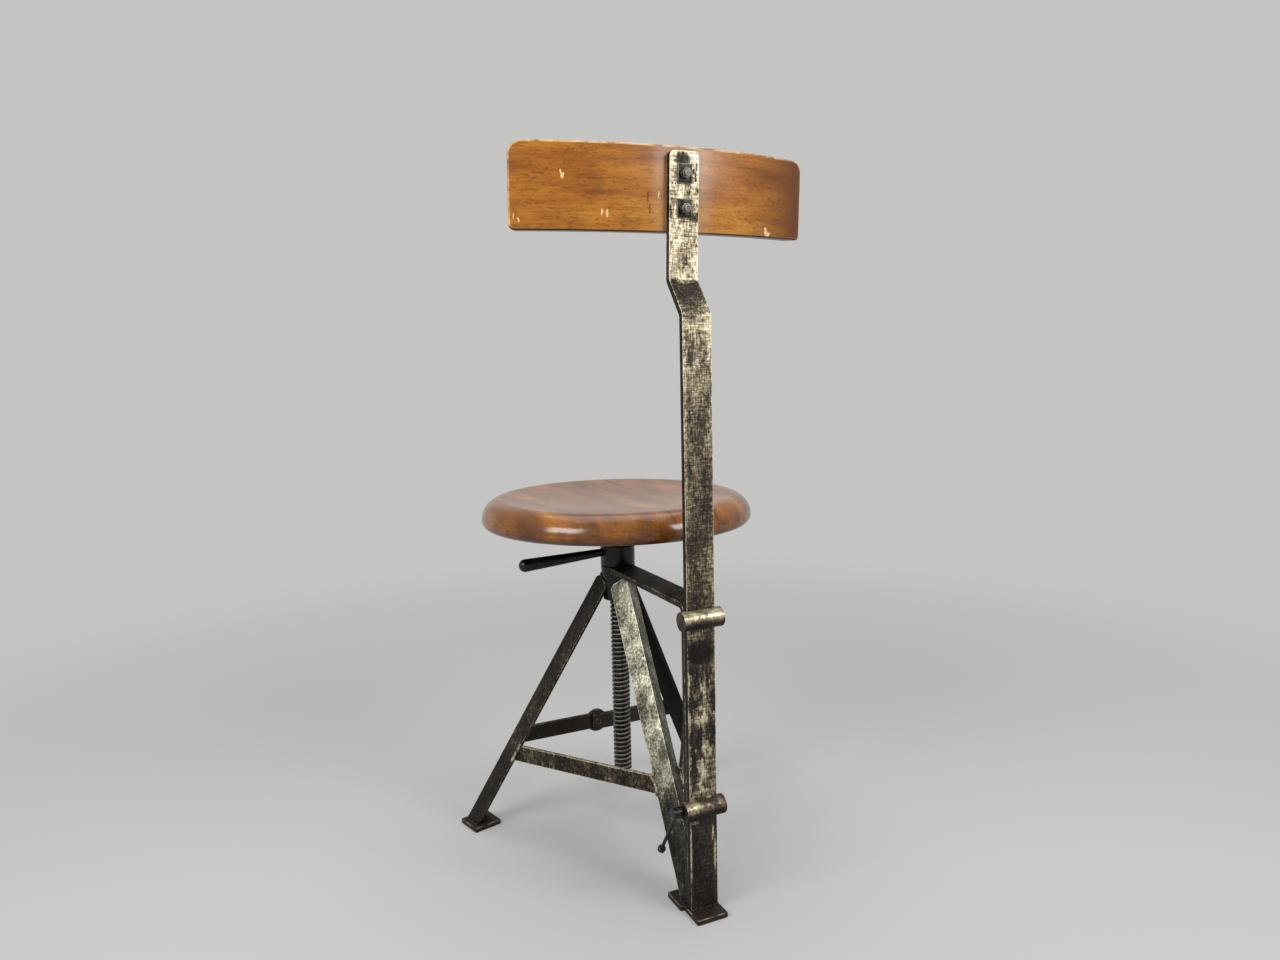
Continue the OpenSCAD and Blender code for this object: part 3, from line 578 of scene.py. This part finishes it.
def back_plywood():
    """Bent beech board under golden-brown varnish: satin, fine flecks in the grain, chips, pale rims that
    are partly a painted highlight, painted reflections beside the post, and painted shade on the underside
    and towards the right end.

    The fibres and flecks are drawn coarser than real ones, so that they show.
    """
    material, tree = new_material("back_plywood")
    place = add(tree, "Attribute", attribute_name="flat_place").outputs["Vector"]
    split = add(tree, "SeparateXYZ", {0: place})
    growth = pattern(tree, place, 22, 0.3, 0.7, 5, 0.6, (0.14, 1, 1))
    fibres = pattern(tree, place, 1.5, 0.48, 0.72, 4, 0.6, (0.08, 1, 1))
    flecks = pattern(tree, place, 1.6, 0.56, 0.66, 2, 0.5, (0.35, 1, 1), 0.5)
    smudges = pattern(tree, place, 30, 0.55, 0.75, shift=0.2)
    broken = pattern(tree, place, 14, 0.35, 0.6)
    # Pale rims: rubbed varnish, and also a painted highlight along the edges
    rubbed = add(tree, "Math", {0: edge_wear_and_highlight(tree, 2.6, 0.75, 0.99), 1: broken}, operation="MULTIPLY")
    up = facing_up(tree)
    # Painted shade on the board's underside
    painted_underside_shade = add(tree, "MapRange", {"Value": up, "From Min": -0.15, "From Max": -0.6, "To Max": 0.92})
    over = add(tree, "MapRange", {"Value": up, "From Min": 0.25, "From Max": 0.7, "To Max": 0.6})
    not_under = add(tree, "MapRange", {"Value": up, "From Min": -0.3, "From Max": -0.05, "To Max": 0.8})
    # Darker towards the right end: painted shade
    right_end_painted_shade = add(tree, "MapRange", {
        "Value": split.outputs["X"], "From Min": -80 * MM, "From Max": -170 * MM,
    })
    rear = add(tree, "MapRange", {"Value": split.outputs["Y"], "From Min": 0, "From Max": 4 * MM})
    body = add(tree, "ValToRGB", {0: growth}, stops=[
        (0.0, "#784412"), (0.4, "#995e1e"), (0.7, "#aa6e24"), (1.0, "#b98334"),
    ])
    for mask, amount, tint in (
        (right_end_painted_shade, 1.0, "#5c300e"), (painted_underside_shade, 1.0, "#170c05"), (over, 1.0, "#3d210d"),
        (fibres, 0.5, "#663510"), (flecks, 0.45, "#54290c"), (smudges, 0.45, "#5b3012"),
        (rubbed, not_under, "#d8b884"),
        # Painted reflections on the rear face beside the post
        (spots(tree, place, BOARD_PAINTED_REFLECTIONS, 8.0, 0.7), rear, "#c9b7a0"),
        (spots(tree, place, BOARD_CHIPS, 3.5), rear, "#e2c08e"),
        (spots(tree, place, BOARD_SCRATCHES, 2.0), rear, "#2c180c"),
    ):
        share = add(tree, "Math", {0: mask, 1: amount}, operation="MULTIPLY")
        body = add(tree, "Mix", {0: share, 1: body, 2: tint}, data_type="RGBA")
    bump = add(tree, "Bump", {"Height": fibres, "Strength": 0.10, "Distance": 0.3 * MM})
    shader = add(tree, "BsdfPrincipled", {
        "Base Color": body, "Roughness": 0.5, "Specular IOR Level": 0.1,
        "Coat Weight": 0.6, "Coat Roughness": 0.26, "Coat IOR": 1.35, "Normal": bump,
    })
    add(tree, "OutputMaterial", {"Surface": shader})
    return material


def make_stage():
    """A plain pale floor that fades into an even backdrop."""
    bpy.ops.mesh.primitive_circle_add(vertices=96, radius=FLOOR_RADIUS, fill_type="NGON")
    floor = bpy.context.object
    floor.name = "floor"
    material, tree = new_material("pale_floor")
    place = add(tree, "TexCoord").outputs["Object"]
    far = add(tree, "VectorMath", {0: place}, operation="LENGTH").outputs["Value"]
    fade = add(tree, "MapRange", {
        "Value": far, "From Min": FLOOR_FADE_START, "From Max": FLOOR_FADE_END, "To Min": FLOOR_GLOW,
    }, interpolation_type="SMOOTHSTEP")
    ground = add(tree, "BsdfDiffuse", {"Color": FLOOR_COLOUR})
    glow = add(tree, "Emission", {"Color": BACKDROP_COLOUR, "Strength": 1.0})
    mixed = add(tree, "MixShader", {0: fade, 1: ground, 2: glow})
    add(tree, "OutputMaterial", {"Surface": mixed})
    floor.data.materials.append(material)
    world = bpy.data.worlds.new("studio")
    bpy.context.scene.world = world
    world.use_nodes = True
    tree = world.node_tree
    tree.nodes.clear()
    rays = add(tree, "LightPath").outputs
    seen = add(tree, "Math", {0: rays["Is Camera Ray"], 1: rays["Is Glossy Ray"]}, operation="MAXIMUM")
    strength = add(tree, "MapRange", {"Value": seen, "To Min": AMBIENT_STRENGTH, "To Max": 1.0})
    sky = add(tree, "Background", {"Color": BACKDROP_COLOUR, "Strength": strength})
    add(tree, "OutputWorld", {"Surface": sky})


# Pieces


def choose(piece):
    """Selects one piece alone and makes it the active one."""
    bpy.ops.object.select_all(action="DESELECT")
    piece.select_set(True)
    bpy.context.view_layer.objects.active = piece


def apply_place(piece):
    """Puts a piece's place into its mesh."""
    choose(piece)
    bpy.ops.object.transform_apply(location=True, rotation=True, scale=True)


def edit_all(piece):
    """Opens a piece in edit mode with all of it selected."""
    choose(piece)
    bpy.ops.object.mode_set(mode="EDIT")
    bpy.ops.mesh.select_mode(type="VERT")
    bpy.ops.mesh.select_all(action="SELECT")


def leave_edit():
    bpy.ops.object.mode_set(mode="OBJECT")


def apply_modifier(piece, kind, **settings):
    """Gives a piece a modifier with its settings and applies it."""
    choose(piece)
    modifier = piece.modifiers.new(kind.lower(), kind)
    for key, value in settings.items():
        setattr(modifier, key, value)
    bpy.ops.object.modifier_apply(modifier=modifier.name)


def join(pieces):
    """Joins pieces into the first one."""
    choose(pieces[0])
    for piece in pieces[1:]:
        piece.select_set(True)
    bpy.ops.object.join()
    return pieces[0]


def dress(piece, body, slot, material, *nodes, smooth=35):
    """Gives a finished piece its material and its body, and names the nodes it stands for."""
    choose(piece)
    bpy.ops.object.shade_smooth_by_angle(angle=math.radians(smooth))
    piece.data.materials.clear()
    piece.data.materials.append(material)
    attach(piece, body)
    if nodes:
        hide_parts(*nodes)


def round_edges(piece, width, segments, angle, material):
    """Rounds a piece's sharp edges. The new strips are told apart by their material slot."""
    piece.data.materials.clear()
    for _ in range(2):
        piece.data.materials.append(material)
    apply_modifier(piece, "BEVEL", width=width, segments=segments, limit_method="ANGLE",
                   angle_limit=math.radians(angle), miter_outer="MITER_ARC", material=1)


def keep_strips(piece):
    """Writes which faces are rounded strips into an attribute, for the wear along the edges."""
    strips = piece.data.attributes.new("edge_strip", "FLOAT", "FACE")
    for face, strip in zip(piece.data.polygons, strips.data):
        strip.value = face.material_index
        face.material_index = 0


def softened(node, width, segments, material):
    """A merged copy of a construction piece with its sharp edges rounded, standing for that piece."""
    source = frame["nodes"][node]
    piece = bpy.data.objects.new("soft_" + node, source.data.copy())
    bpy.context.scene.collection.objects.link(piece)
    edit_all(piece)
    bpy.ops.mesh.remove_doubles(threshold=0.005 * MM)
    bpy.ops.mesh.dissolve_limited(angle_limit=math.radians(0.4))
    leave_edit()
    round_edges(piece, width * MM, segments, SHARP_ANGLE, material)
    keep_strips(piece)
    dress(piece, source["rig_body"], slot_of[node], material, node)


def drawn_line(name, points):
    """A piece that is a chain of edges in the XZ plane, left in edit mode. Its points are (x, z)."""
    bpy.ops.mesh.primitive_plane_add(size=1 * MM)
    piece = bpy.context.object
    piece.name = name
    edit_all(piece)
    bpy.ops.mesh.merge(type="CENTER")
    bpy.ops.transform.translate(value=(points[0][0], 0, points[0][1]))
    for a, b in zip(points, points[1:]):
        bpy.ops.mesh.extrude_region_move(TRANSFORM_OT_translate={"value": (b[0] - a[0], 0, b[1] - a[1])})
    return piece


def turned(name, profile, steps):
    """A piece turned about the Z axis: the profile's points are (radius, height)."""
    piece = drawn_line(name, profile)
    bpy.ops.mesh.select_all(action="SELECT")
    bpy.ops.mesh.spin(steps=steps, angle=math.tau, center=(0, 0, 0), axis=(0, 0, 1))
    bpy.ops.mesh.select_all(action="SELECT")
    bpy.ops.mesh.remove_doubles(threshold=0.002 * MM)
    bpy.ops.mesh.normals_make_consistent(inside=False)
    leave_edit()
    return piece


def arc(centre, radius, start, end, steps):
    """Points on an arc in the profile's plane, between two angles in degrees."""
    angles = [math.radians(start + (end - start) * k / steps) for k in range(steps + 1)]
    return [(centre[0] + radius * math.cos(angle), centre[1] + radius * math.sin(angle)) for angle in angles]


def make_seat(material):
    """A turned disc with a round rim, whose crest runs smoothly into the dish."""
    radius = (seat_high.x - seat_low.x) / 2
    crest_r = radius - SEAT_TOP_ROUND
    crest_mid = SEAT_THICKNESS - SEAT_TOP_ROUND
    dish_angle = 2 * math.atan(SEAT_DISH / crest_r)
    dish_r = crest_r / math.sin(dish_angle) - SEAT_TOP_ROUND
    dish_mid = crest_mid + (SEAT_TOP_ROUND + dish_r) * math.cos(dish_angle)
    turn = math.degrees(dish_angle)
    profile = [(0, 0), (radius * 0.5, 0)]
    profile += arc((radius - SEAT_BOTTOM_ROUND, SEAT_BOTTOM_ROUND), SEAT_BOTTOM_ROUND, -90, 0, 8)
    profile += arc((crest_r, crest_mid), SEAT_TOP_ROUND, 0, 90 + turn, 24)
    profile += arc((0, dish_mid), dish_r, turn - 90, -90, 24)[1:]
    piece = turned("turned_seat", profile, steps=180)
    piece.location = AXIS + Vector((0, 0, seat_low.z))
    apply_place(piece)
    dress(piece, "seat", "seat_wood", material, "seat", smooth=60)


def round_corners(piece, upper, radius):
    """Rounds the board's upper or lower corners, whose edges run through its thickness."""
    edit_all(piece)
    bpy.ops.mesh.select_mode(type="EDGE")
    bpy.ops.mesh.select_all(action="DESELECT")
    leave_edit()
    for edge in piece.data.edges:
        a, b = (piece.data.vertices[v].co for v in edge.vertices)
        runs_through = abs(a.y - b.y) > BOARD_THICKNESS / 2
        at_corner = abs(a.z) > BOARD_HEIGHT * 0.49
        edge.select = runs_through and at_corner and (a.z > 0) == upper
    bpy.ops.object.mode_set(mode="EDIT")
    bpy.ops.mesh.bevel(offset=radius, segments=8, affect="EDGES")
    leave_edit()


def make_backrest(material):
    """A board with rounded corners and edges, cut across into narrow strips and bent."""
    half_angle = math.asin(BOARD_WIDTH / 2 / BOARD_REAR_RADIUS)
    length = 2 * half_angle * (BOARD_REAR_RADIUS - BOARD_THICKNESS / 2)
    bpy.ops.mesh.primitive_cube_add(size=1, scale=(length, BOARD_THICKNESS, BOARD_HEIGHT))
    piece = bpy.context.object
    piece.name = "bent_board"
    apply_place(piece)
    round_corners(piece, True, BOARD_TOP_CORNER)
    round_corners(piece, False, BOARD_BOTTOM_CORNER)
    round_edges(piece, BOARD_EDGE_ROUND, 4, 50, material)
    edit_all(piece)
    for k in range(1, BOARD_STRIPS):
        x = length * (k / BOARD_STRIPS - 0.5)
        bpy.ops.mesh.select_all(action="SELECT")
        bpy.ops.mesh.bisect(plane_co=(x, 0, 0), plane_no=(1, 0, 0), threshold=CUT_GAP)
    leave_edit()
    keep_strips(piece)
    flat = piece.data.attributes.new("flat_place", "FLOAT_VECTOR", "POINT")
    for vertex, value in zip(piece.data.vertices, flat.data):
        value.vector = vertex.co
    apply_modifier(piece, "SIMPLE_DEFORM", deform_method="BEND", deform_axis="Z", angle=-2 * half_angle)
    piece.matrix_world = BACK_FRAME @ Matrix.Translation((0, -(BAR_THICKNESS + BOARD_THICKNESS) / 2, 0))
    apply_place(piece)
    dress(piece, "back", "back_plywood", material, "backrest")


def make_spindle(material):
    """A true right-hand thread: its profile swept up a screw past both ends, then cut square there."""
    root = SPINDLE_RADIUS - THREAD_DEPTH
    length = THREAD_TOP_Z - spindle_low.z
    piece = drawn_line("threaded_spindle", [
        (root + out * THREAD_DEPTH, (up - 2) * THREAD_PITCH) for out, up in THREAD_PROFILE
    ])
    leave_edit()
    apply_modifier(piece, "SCREW", axis="Z", angle=math.tau, screw_offset=THREAD_PITCH,
                   iterations=math.ceil(length / THREAD_PITCH) + 3, steps=40, render_steps=40)
    edit_all(piece)
    bpy.ops.mesh.remove_doubles(threshold=0.01 * MM)
    for height, side in ((0, {"clear_inner": True}), (length, {"clear_outer": True})):
        bpy.ops.mesh.select_all(action="SELECT")
        bpy.ops.mesh.bisect(
            plane_co=(0, 0, height), plane_no=(0, 0, 1), threshold=CUT_GAP, use_fill=True, **side
        )
    bpy.ops.mesh.select_all(action="SELECT")
    bpy.ops.mesh.normals_make_consistent(inside=False)
    leave_edit()
    piece.location = AXIS + Vector((0, 0, spindle_low.z))
    apply_place(piece)
    plain_height = spindle_high.z - THREAD_TOP_Z + THREAD_DEPTH
    plain = turned("spindle_journal", [
        (0, 0), (root, 0), (SPINDLE_RADIUS, THREAD_DEPTH), (SPINDLE_RADIUS, plain_height), (0, plain_height),
    ], steps=64)
    plain.location = AXIS + Vector((0, 0, THREAD_TOP_Z - THREAD_DEPTH))
    apply_place(plain)
    dress(join([piece, plain]), "seat", "spindle_steel", material, "spindle", smooth=25)


def make_bolt_ends(material):
    """Threaded ends of the backrest bolts, proud of their nuts."""
    proud = BOLT_STANDOUT + 0.2 * MM
    root = BOLT_RADIUS - 0.45 * MM
    crest = BOLT_RADIUS + 0.08 * MM
    tip = BOLT_RADIUS - 0.7 * MM
    ridges = 4
    step = proud / ridges
    profile = [(0, -step)]
    for k in range(ridges):
        profile += [(root, step * k), (crest, step * (k + 0.5))]
    profile += [(tip, proud), (0, proud)]
    ends = []
    for side in (-1, 1):
        piece = turned("bolt_end", profile, steps=32)
        base = Vector((0, BOLT_REACH - proud + 0.1 * MM, side * BOLT_SPACING / 2 - BOLT_DROP))
        rearwards = Matrix.Rotation(math.radians(-90), 4, "X")
        piece.matrix_world = BACK_FRAME @ Matrix.Translation(base) @ rearwards
        apply_place(piece)
        ends.append(piece)
    piece = join(ends)
    piece.name = "bolt_threads"
    dress(piece, "back", "fastener_steel", material, smooth=25)


# Welds


def leg_line_r(z):
    """Distance of the legs' outer corner line from the axis, at a height."""
    slope = (LEG_FOOT_R - LEG_HEAD_R) / hub_high.z
    return LEG_FOOT_R - z * slope


def leg_point(bearing, radial, lateral, z):
    """A point beside a leg: out from the axis along its bearing, and sideways."""
    return AXIS + direction(bearing) * radial + direction(bearing + 90) * lateral + Vector((0, 0, z))


def flange_point(bearing, side, run, z):
    """A point on one flange of a leg, so far from its outer corner line."""
    return leg_point(bearing, leg_line_r(z) - run / math.sqrt(2), side * run / math.sqrt(2), z)


def hub_seam(bearing, side):
    """Where one flange of a leg meets the hub's tapered side."""
    points = []
    for height in HUB_SEAM_HEIGHTS:
        z = height * MM
        hub_r = HUB_LOW_RADIUS + HUB_TAPER * (z - hub_low.z) / (hub_high.z - hub_low.z)
        line_r = leg_line_r(z)
        run = (math.sqrt(2) * line_r - math.sqrt(max(4 * hub_r ** 2 - 2 * line_r ** 2, 0))) / 2
        points.append(flange_point(bearing, side, run, z))
    return points


def arm_seam():
    """Where the arm's underside meets the hub."""
    z = hub_high.z - BAR_THICKNESS - ARM_SEAM_DROP
    across = [x * MM for x in ARM_SEAM_OFFSETS]
    return [leg_point(REAR_LEG, math.sqrt(HUB_ARM_RADIUS ** 2 - x ** 2), x, z) for x in across]


def flange_seam(bearing, side, middle_z, beyond=FLANGE_SEAM_GAP):
    """Where a stretcher's end butts on the edge of a leg's flange, or so far beyond that edge."""
    flange = ANGLE_WIDTH / math.sqrt(2)
    # The seam lies a little further in than the flange's edge
    inset = flange * 1.14 - 1.0 * MM
    heights = [middle_z + STRETCHER_HEIGHT * (k / 6 - 0.5) for k in range(7)]
    return [leg_point(bearing, leg_line_r(z) - inset, side * (flange + beyond), z) for z in heights]


def foot_seam(bearing, side, start_run):
    """Along the foot of one flange, on its plate."""
    runs = [start_run + (ANGLE_WIDTH - start_run) * k / 6 for k in range(7)]
    return [flange_point(bearing, side, run, plate_top + FOOT_SEAM_RISE) for run in runs]


def weld(name, seams, radius, material, slot, dice):
    """Overlapping lumps of weld metal along seams, uneven in place and size, melted into one skin."""
    lumps = []
    for seam in seams:
        length = sum((b - a).length for a, b in zip(seam, seam[1:]))
        count = max(2, round(length / (radius * 0.85)))
        for k in range(count + 1):
            share = k / count * (len(seam) - 1)
            i = min(int(share), len(seam) - 2)
            place = seam[i].lerp(seam[i + 1], share - i)
            jitter = Vector([dice.uniform(-0.18, 0.18) * radius for _ in range(3)])
            bpy.ops.mesh.primitive_ico_sphere_add(
                subdivisions=2, radius=radius * dice.uniform(0.8, 1.15), location=place + jitter
            )
            lumps.append(bpy.context.object)
    piece = join(lumps)
    piece.name = name
    apply_place(piece)
    apply_modifier(piece, "REMESH", mode="VOXEL", voxel_size=0.5 * MM)
    apply_modifier(piece, "SMOOTH", factor=0.5, iterations=2)
    dress(piece, "frame", slot, material, smooth=60)


def make_welds(dark, pale, rust):
    """The beads at the hub, the stretchers, the feet and the guides."""
    dice = random.Random(7)
    sides = (-1, 1)
    hub_seams = [hub_seam(leg, side) for leg in (REAR_LEG, LEFT_LEG, RIGHT_LEG) for side in sides]
    weld("hub_welds", hub_seams + [arm_seam()], HUB_BEAD, dark, "blackened_steel", dice)

    level_low, level_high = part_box("right_stretcher")
    level_z = (level_low.z + level_high.z) / 2
    left_end_z = level_z - LEFT_STRETCHER_DROP + LEFT_SEAM_RISE
    weld("stretcher_welds", [
        flange_seam(REAR_LEG, 1, level_z),
        flange_seam(LEFT_LEG, -1, left_end_z),
        flange_seam(LEFT_LEG, -1, left_end_z, SECOND_SEAM_GAP),
        flange_seam(REAR_LEG, -1, level_z),
        flange_seam(RIGHT_LEG, 1, level_z),
        flange_seam(LEFT_LEG, 1, level_z),
        flange_seam(RIGHT_LEG, -1, level_z),
    ], STRETCHER_BEAD, pale, "worn_leg_steel", dice)

    feet = [foot_seam(leg, side, 0.0) for leg in (LEFT_LEG, RIGHT_LEG) for side in sides]
    feet += [foot_seam(REAR_LEG, side, REAR_FOOT_SEAM_START) for side in sides]
    rear_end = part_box("back_support")[1].y - UPRIGHT_SEAM_INSET
    foot_z = plate_top + UPRIGHT_SEAM_RISE
    for side in sides:
        x = side * (BAR_WIDTH / 2 + UPRIGHT_SEAM_GAP)
        feet.append([Vector((x, rear_end - BAR_THICKNESS, foot_z)), Vector((x, rear_end, foot_z))])
    weld("foot_welds", feet, FOOT_BEAD, rust, "rusty_steel", dice)

    guide_seams = []
    for guide in ("upper_guide", "lower_guide"):
        low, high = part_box(guide)
        y = low.y + GUIDE_SEAM_DEPTH
        for side in sides:
            x = side * (BAR_WIDTH / 2 + GUIDE_SEAM_GAP)
            ends = (low.z + GUIDE_SEAM_INSET, high.z - GUIDE_SEAM_INSET)
            guide_seams.append([Vector((x, y, z)) for z in ends])
    weld("guide_welds", guide_seams, GUIDE_BEAD, dark, "guide_steel", dice)


# Bareness of steel pieces at heights in millimetres
POST_LEVELS = [
    (0, 0.17), (36, 0.19), (116, 0.23), (145, 0.48), (211, 0.38), (220, 0.26), (240, 0.37), (291, 0.36),
    (324, 0.25), (336, 0.54), (352, 0.36), (450, 0.42), (515, 0.45), (600, 0.49), (650, 0.54), (672, 0.64),
    (684, 0.48), (700, 0.40), (719, 0.30), (723, 0.72), (790, 0.74), (845, 0.68), (864, 0.60),
]
LEG_LEVELS = [(0, 0.26), (90, 0.32), (160, 0.44), (230, 0.36), (320, 0.27), (368, 0.30)]
REAR_LEG_LEVELS = [
    (0, 0.18), (88, 0.26), (114, 0.48), (145, 0.62), (220, 0.66), (270, 0.60), (310, 0.66), (340, 0.78),
    (356, 0.78),
]
GUIDE_LEVELS = [(0, 0.40), (200, 0.40), (260, 0.50), (400, 0.50)]

# Dark remains of scale and smears on the post's rear face, in millimetres: x, z, half sizes, strength
POST_MARKS = [
    (3, 847, 9.0, 5.5, 0.38), (-11, 834, 1.2, 2.5, 0.5), (-13.7, 828, 1.2, 5.5, 0.45),
    (-14.6, 839, 1.0, 4.0, 0.4), (-17, 814, 2.0, 2.5, 0.45), (17, 793, 2.5, 7.0, 0.3),
    (-13, 787, 7.0, 4.5, 0.36), (3, 784, 4.5, 5.0, 0.2), (1, 744, 6.0, 14, 0.18), (8, 640, 3.0, 12, 0.2),
    (2, 312, 16, 12, 0.34), (11, 268, 6.5, 28, 0.26), (-13, 262, 4.0, 30, 0.24), (11, 214, 8.0, 16, 0.26),
    (-12, 214, 5.0, 15, 0.24), (12, 176, 4.5, 20, 0.26),
]

# Bare scuffs and streaks on the same face
POST_SCUFFS = [
    (16.2, 75, 0.9, 38, 0.5), (-14.5, 66, 1.6, 20, 0.45), (-12, 96, 1.4, 10, 0.4),
    (15.5, 232, 1.0, 60, 0.25), (-6, 120, 9, 3, 0.3), (12, 113, 5, 2, 0.35), (15, 560, 1.2, 90, 0.12),
    (-3, 266, 2.6, 30, 0.22), (-4, 247, 9.0, 5.0, 0.22), (-2, 214, 2.2, 16, 0.25), (-5, 176, 8.0, 14, 0.12),
]

make_camera()
make_stage()
make_lights()
bpy.context.scene.view_settings.view_transform = "Standard"

# The post's faces turned to +X and -X get painted shade, and its pale edge lines are partly a painted
# highlight
post_steel = worn_steel(
    "post_steel", POST_LEVELS, BAR_TONES, patches=0.26, mottle=0.31, grain=2.2, hatch=0.22, edges=0.80,
    sides=0.14, flakes=0.38, painted_facing_light=[((1, 0, 0), 0.6), ((-1, 0, 0), 0.5)], marks=POST_MARKS,
    scuffs=POST_SCUFFS
)
support_steel = worn_steel(
    "support_steel", 0.36, DARK_TONES, patches=0.4, mottle=0.3, edges=0.4, shift=3.1
)
leg_steel = worn_steel(
    "leg_steel", LEG_LEVELS, DARK_TONES, patches=0.34, mottle=0.36, edges=0.55, shift=5.3
)
# A darker copy of the leg steel for the right leg: painted shade, as its inner side is turned from the lamps
shaded_right_leg_steel = worn_steel(
    "shaded_right_leg_steel", 0.14, DARK_TONES, patches=0.30, mottle=0.30, edges=0.40, shift=6.1
)
# The left stretcher's faces turned up are barer: wear along its top, and a painted highlight there
left_stretcher_steel = worn_steel(
    "left_stretcher_steel", 0.46, DARK_TONES, patches=0.3, mottle=0.5, edges=0.6,
    painted_facing_light=[((0, 0, 1), -0.35)], shift=2.2
)
# The rear leg's flange turned towards bearing -60 gets painted shade
rear_leg_steel = worn_steel(
    "rear_leg_steel", REAR_LEG_LEVELS, LEG_TONES, patches=0.42, mottle=0.36, grain=2.2, hatch=0.10,
    edges=0.60, painted_facing_light=[(direction(-60), 0.24)], shift=7.7
)
# Guides: a painted highlight on faces turned up and rearwards, and painted shade on faces turned down and
# rearwards and on the ends facing +X
guide_steel = worn_steel(
    "guide_steel", GUIDE_LEVELS, BAR_TONES, patches=0.42, mottle=0.22, hatch=0.06, edges=0.3,
    painted_facing_light=[((0, 0.7, -0.7), 0.46), ((0, 0.92, 0.38), -0.16), ((1, 0, 0), 0.2)],
    bare_roughness=0.26, shift=9.2
)
weld_steel = worn_steel("weld_steel", 0.62, LEG_TONES, patches=0.3, mottle=0.4, edges=0.1, shift=1.4)
black = blackened_steel()
rust = rusty_steel()
washer_steel = fastener_steel("washer_steel", "#0e0e0d", "#2a2924")
nut_steel = fastener_steel("nut_steel", "#2a2925", "#656157")

make_seat(seat_wood())
make_backrest(back_plywood())
make_spindle(thread_steel())
make_bolt_ends(nut_steel)
make_welds(black, weld_steel, rust)

# Edge radius in millimetres, segments of the rounding, finish, and the pieces that get them
for width, segments, finish, nodes in (
    (1.0, 3, post_steel, ["back_post"]),
    (1.0, 3, support_steel, ["back_support"]),
    (0.8, 3, rear_leg_steel, ["rear_leg"]),
    (0.8, 3, leg_steel, ["left_leg"]),
    (0.8, 3, shaded_right_leg_steel, ["right_leg"]),
    (0.7, 3, left_stretcher_steel, ["left_stretcher"]),
    (0.7, 3, leg_steel, ["right_stretcher"]),
    (0.6, 3, rust, ["front_stretcher_left", "front_stretcher_right", "stretcher_rivet"]),
    (0.9, 3, rust, ["left_foot_plate", "right_foot_plate", "rear_foot_plate", "upright_foot_plate"]),
    (0.8, 3, guide_steel, ["upper_guide", "lower_guide"]),
    (0.4, 2, black, ["hub", "lock_nut", "lock_lever", "stop_washer"]),
    (0.4, 2, black, ["seat_flange", "clamp_screw", "tommy_bar"]),
    (0.3, 2, washer_steel, ["flange_pin", "seat_screws", "back_washers"]),
    (0.5, 2, nut_steel, ["back_bolts", "back_nuts"]),
):
    for node in nodes:
        softened(node, width, segments, finish)
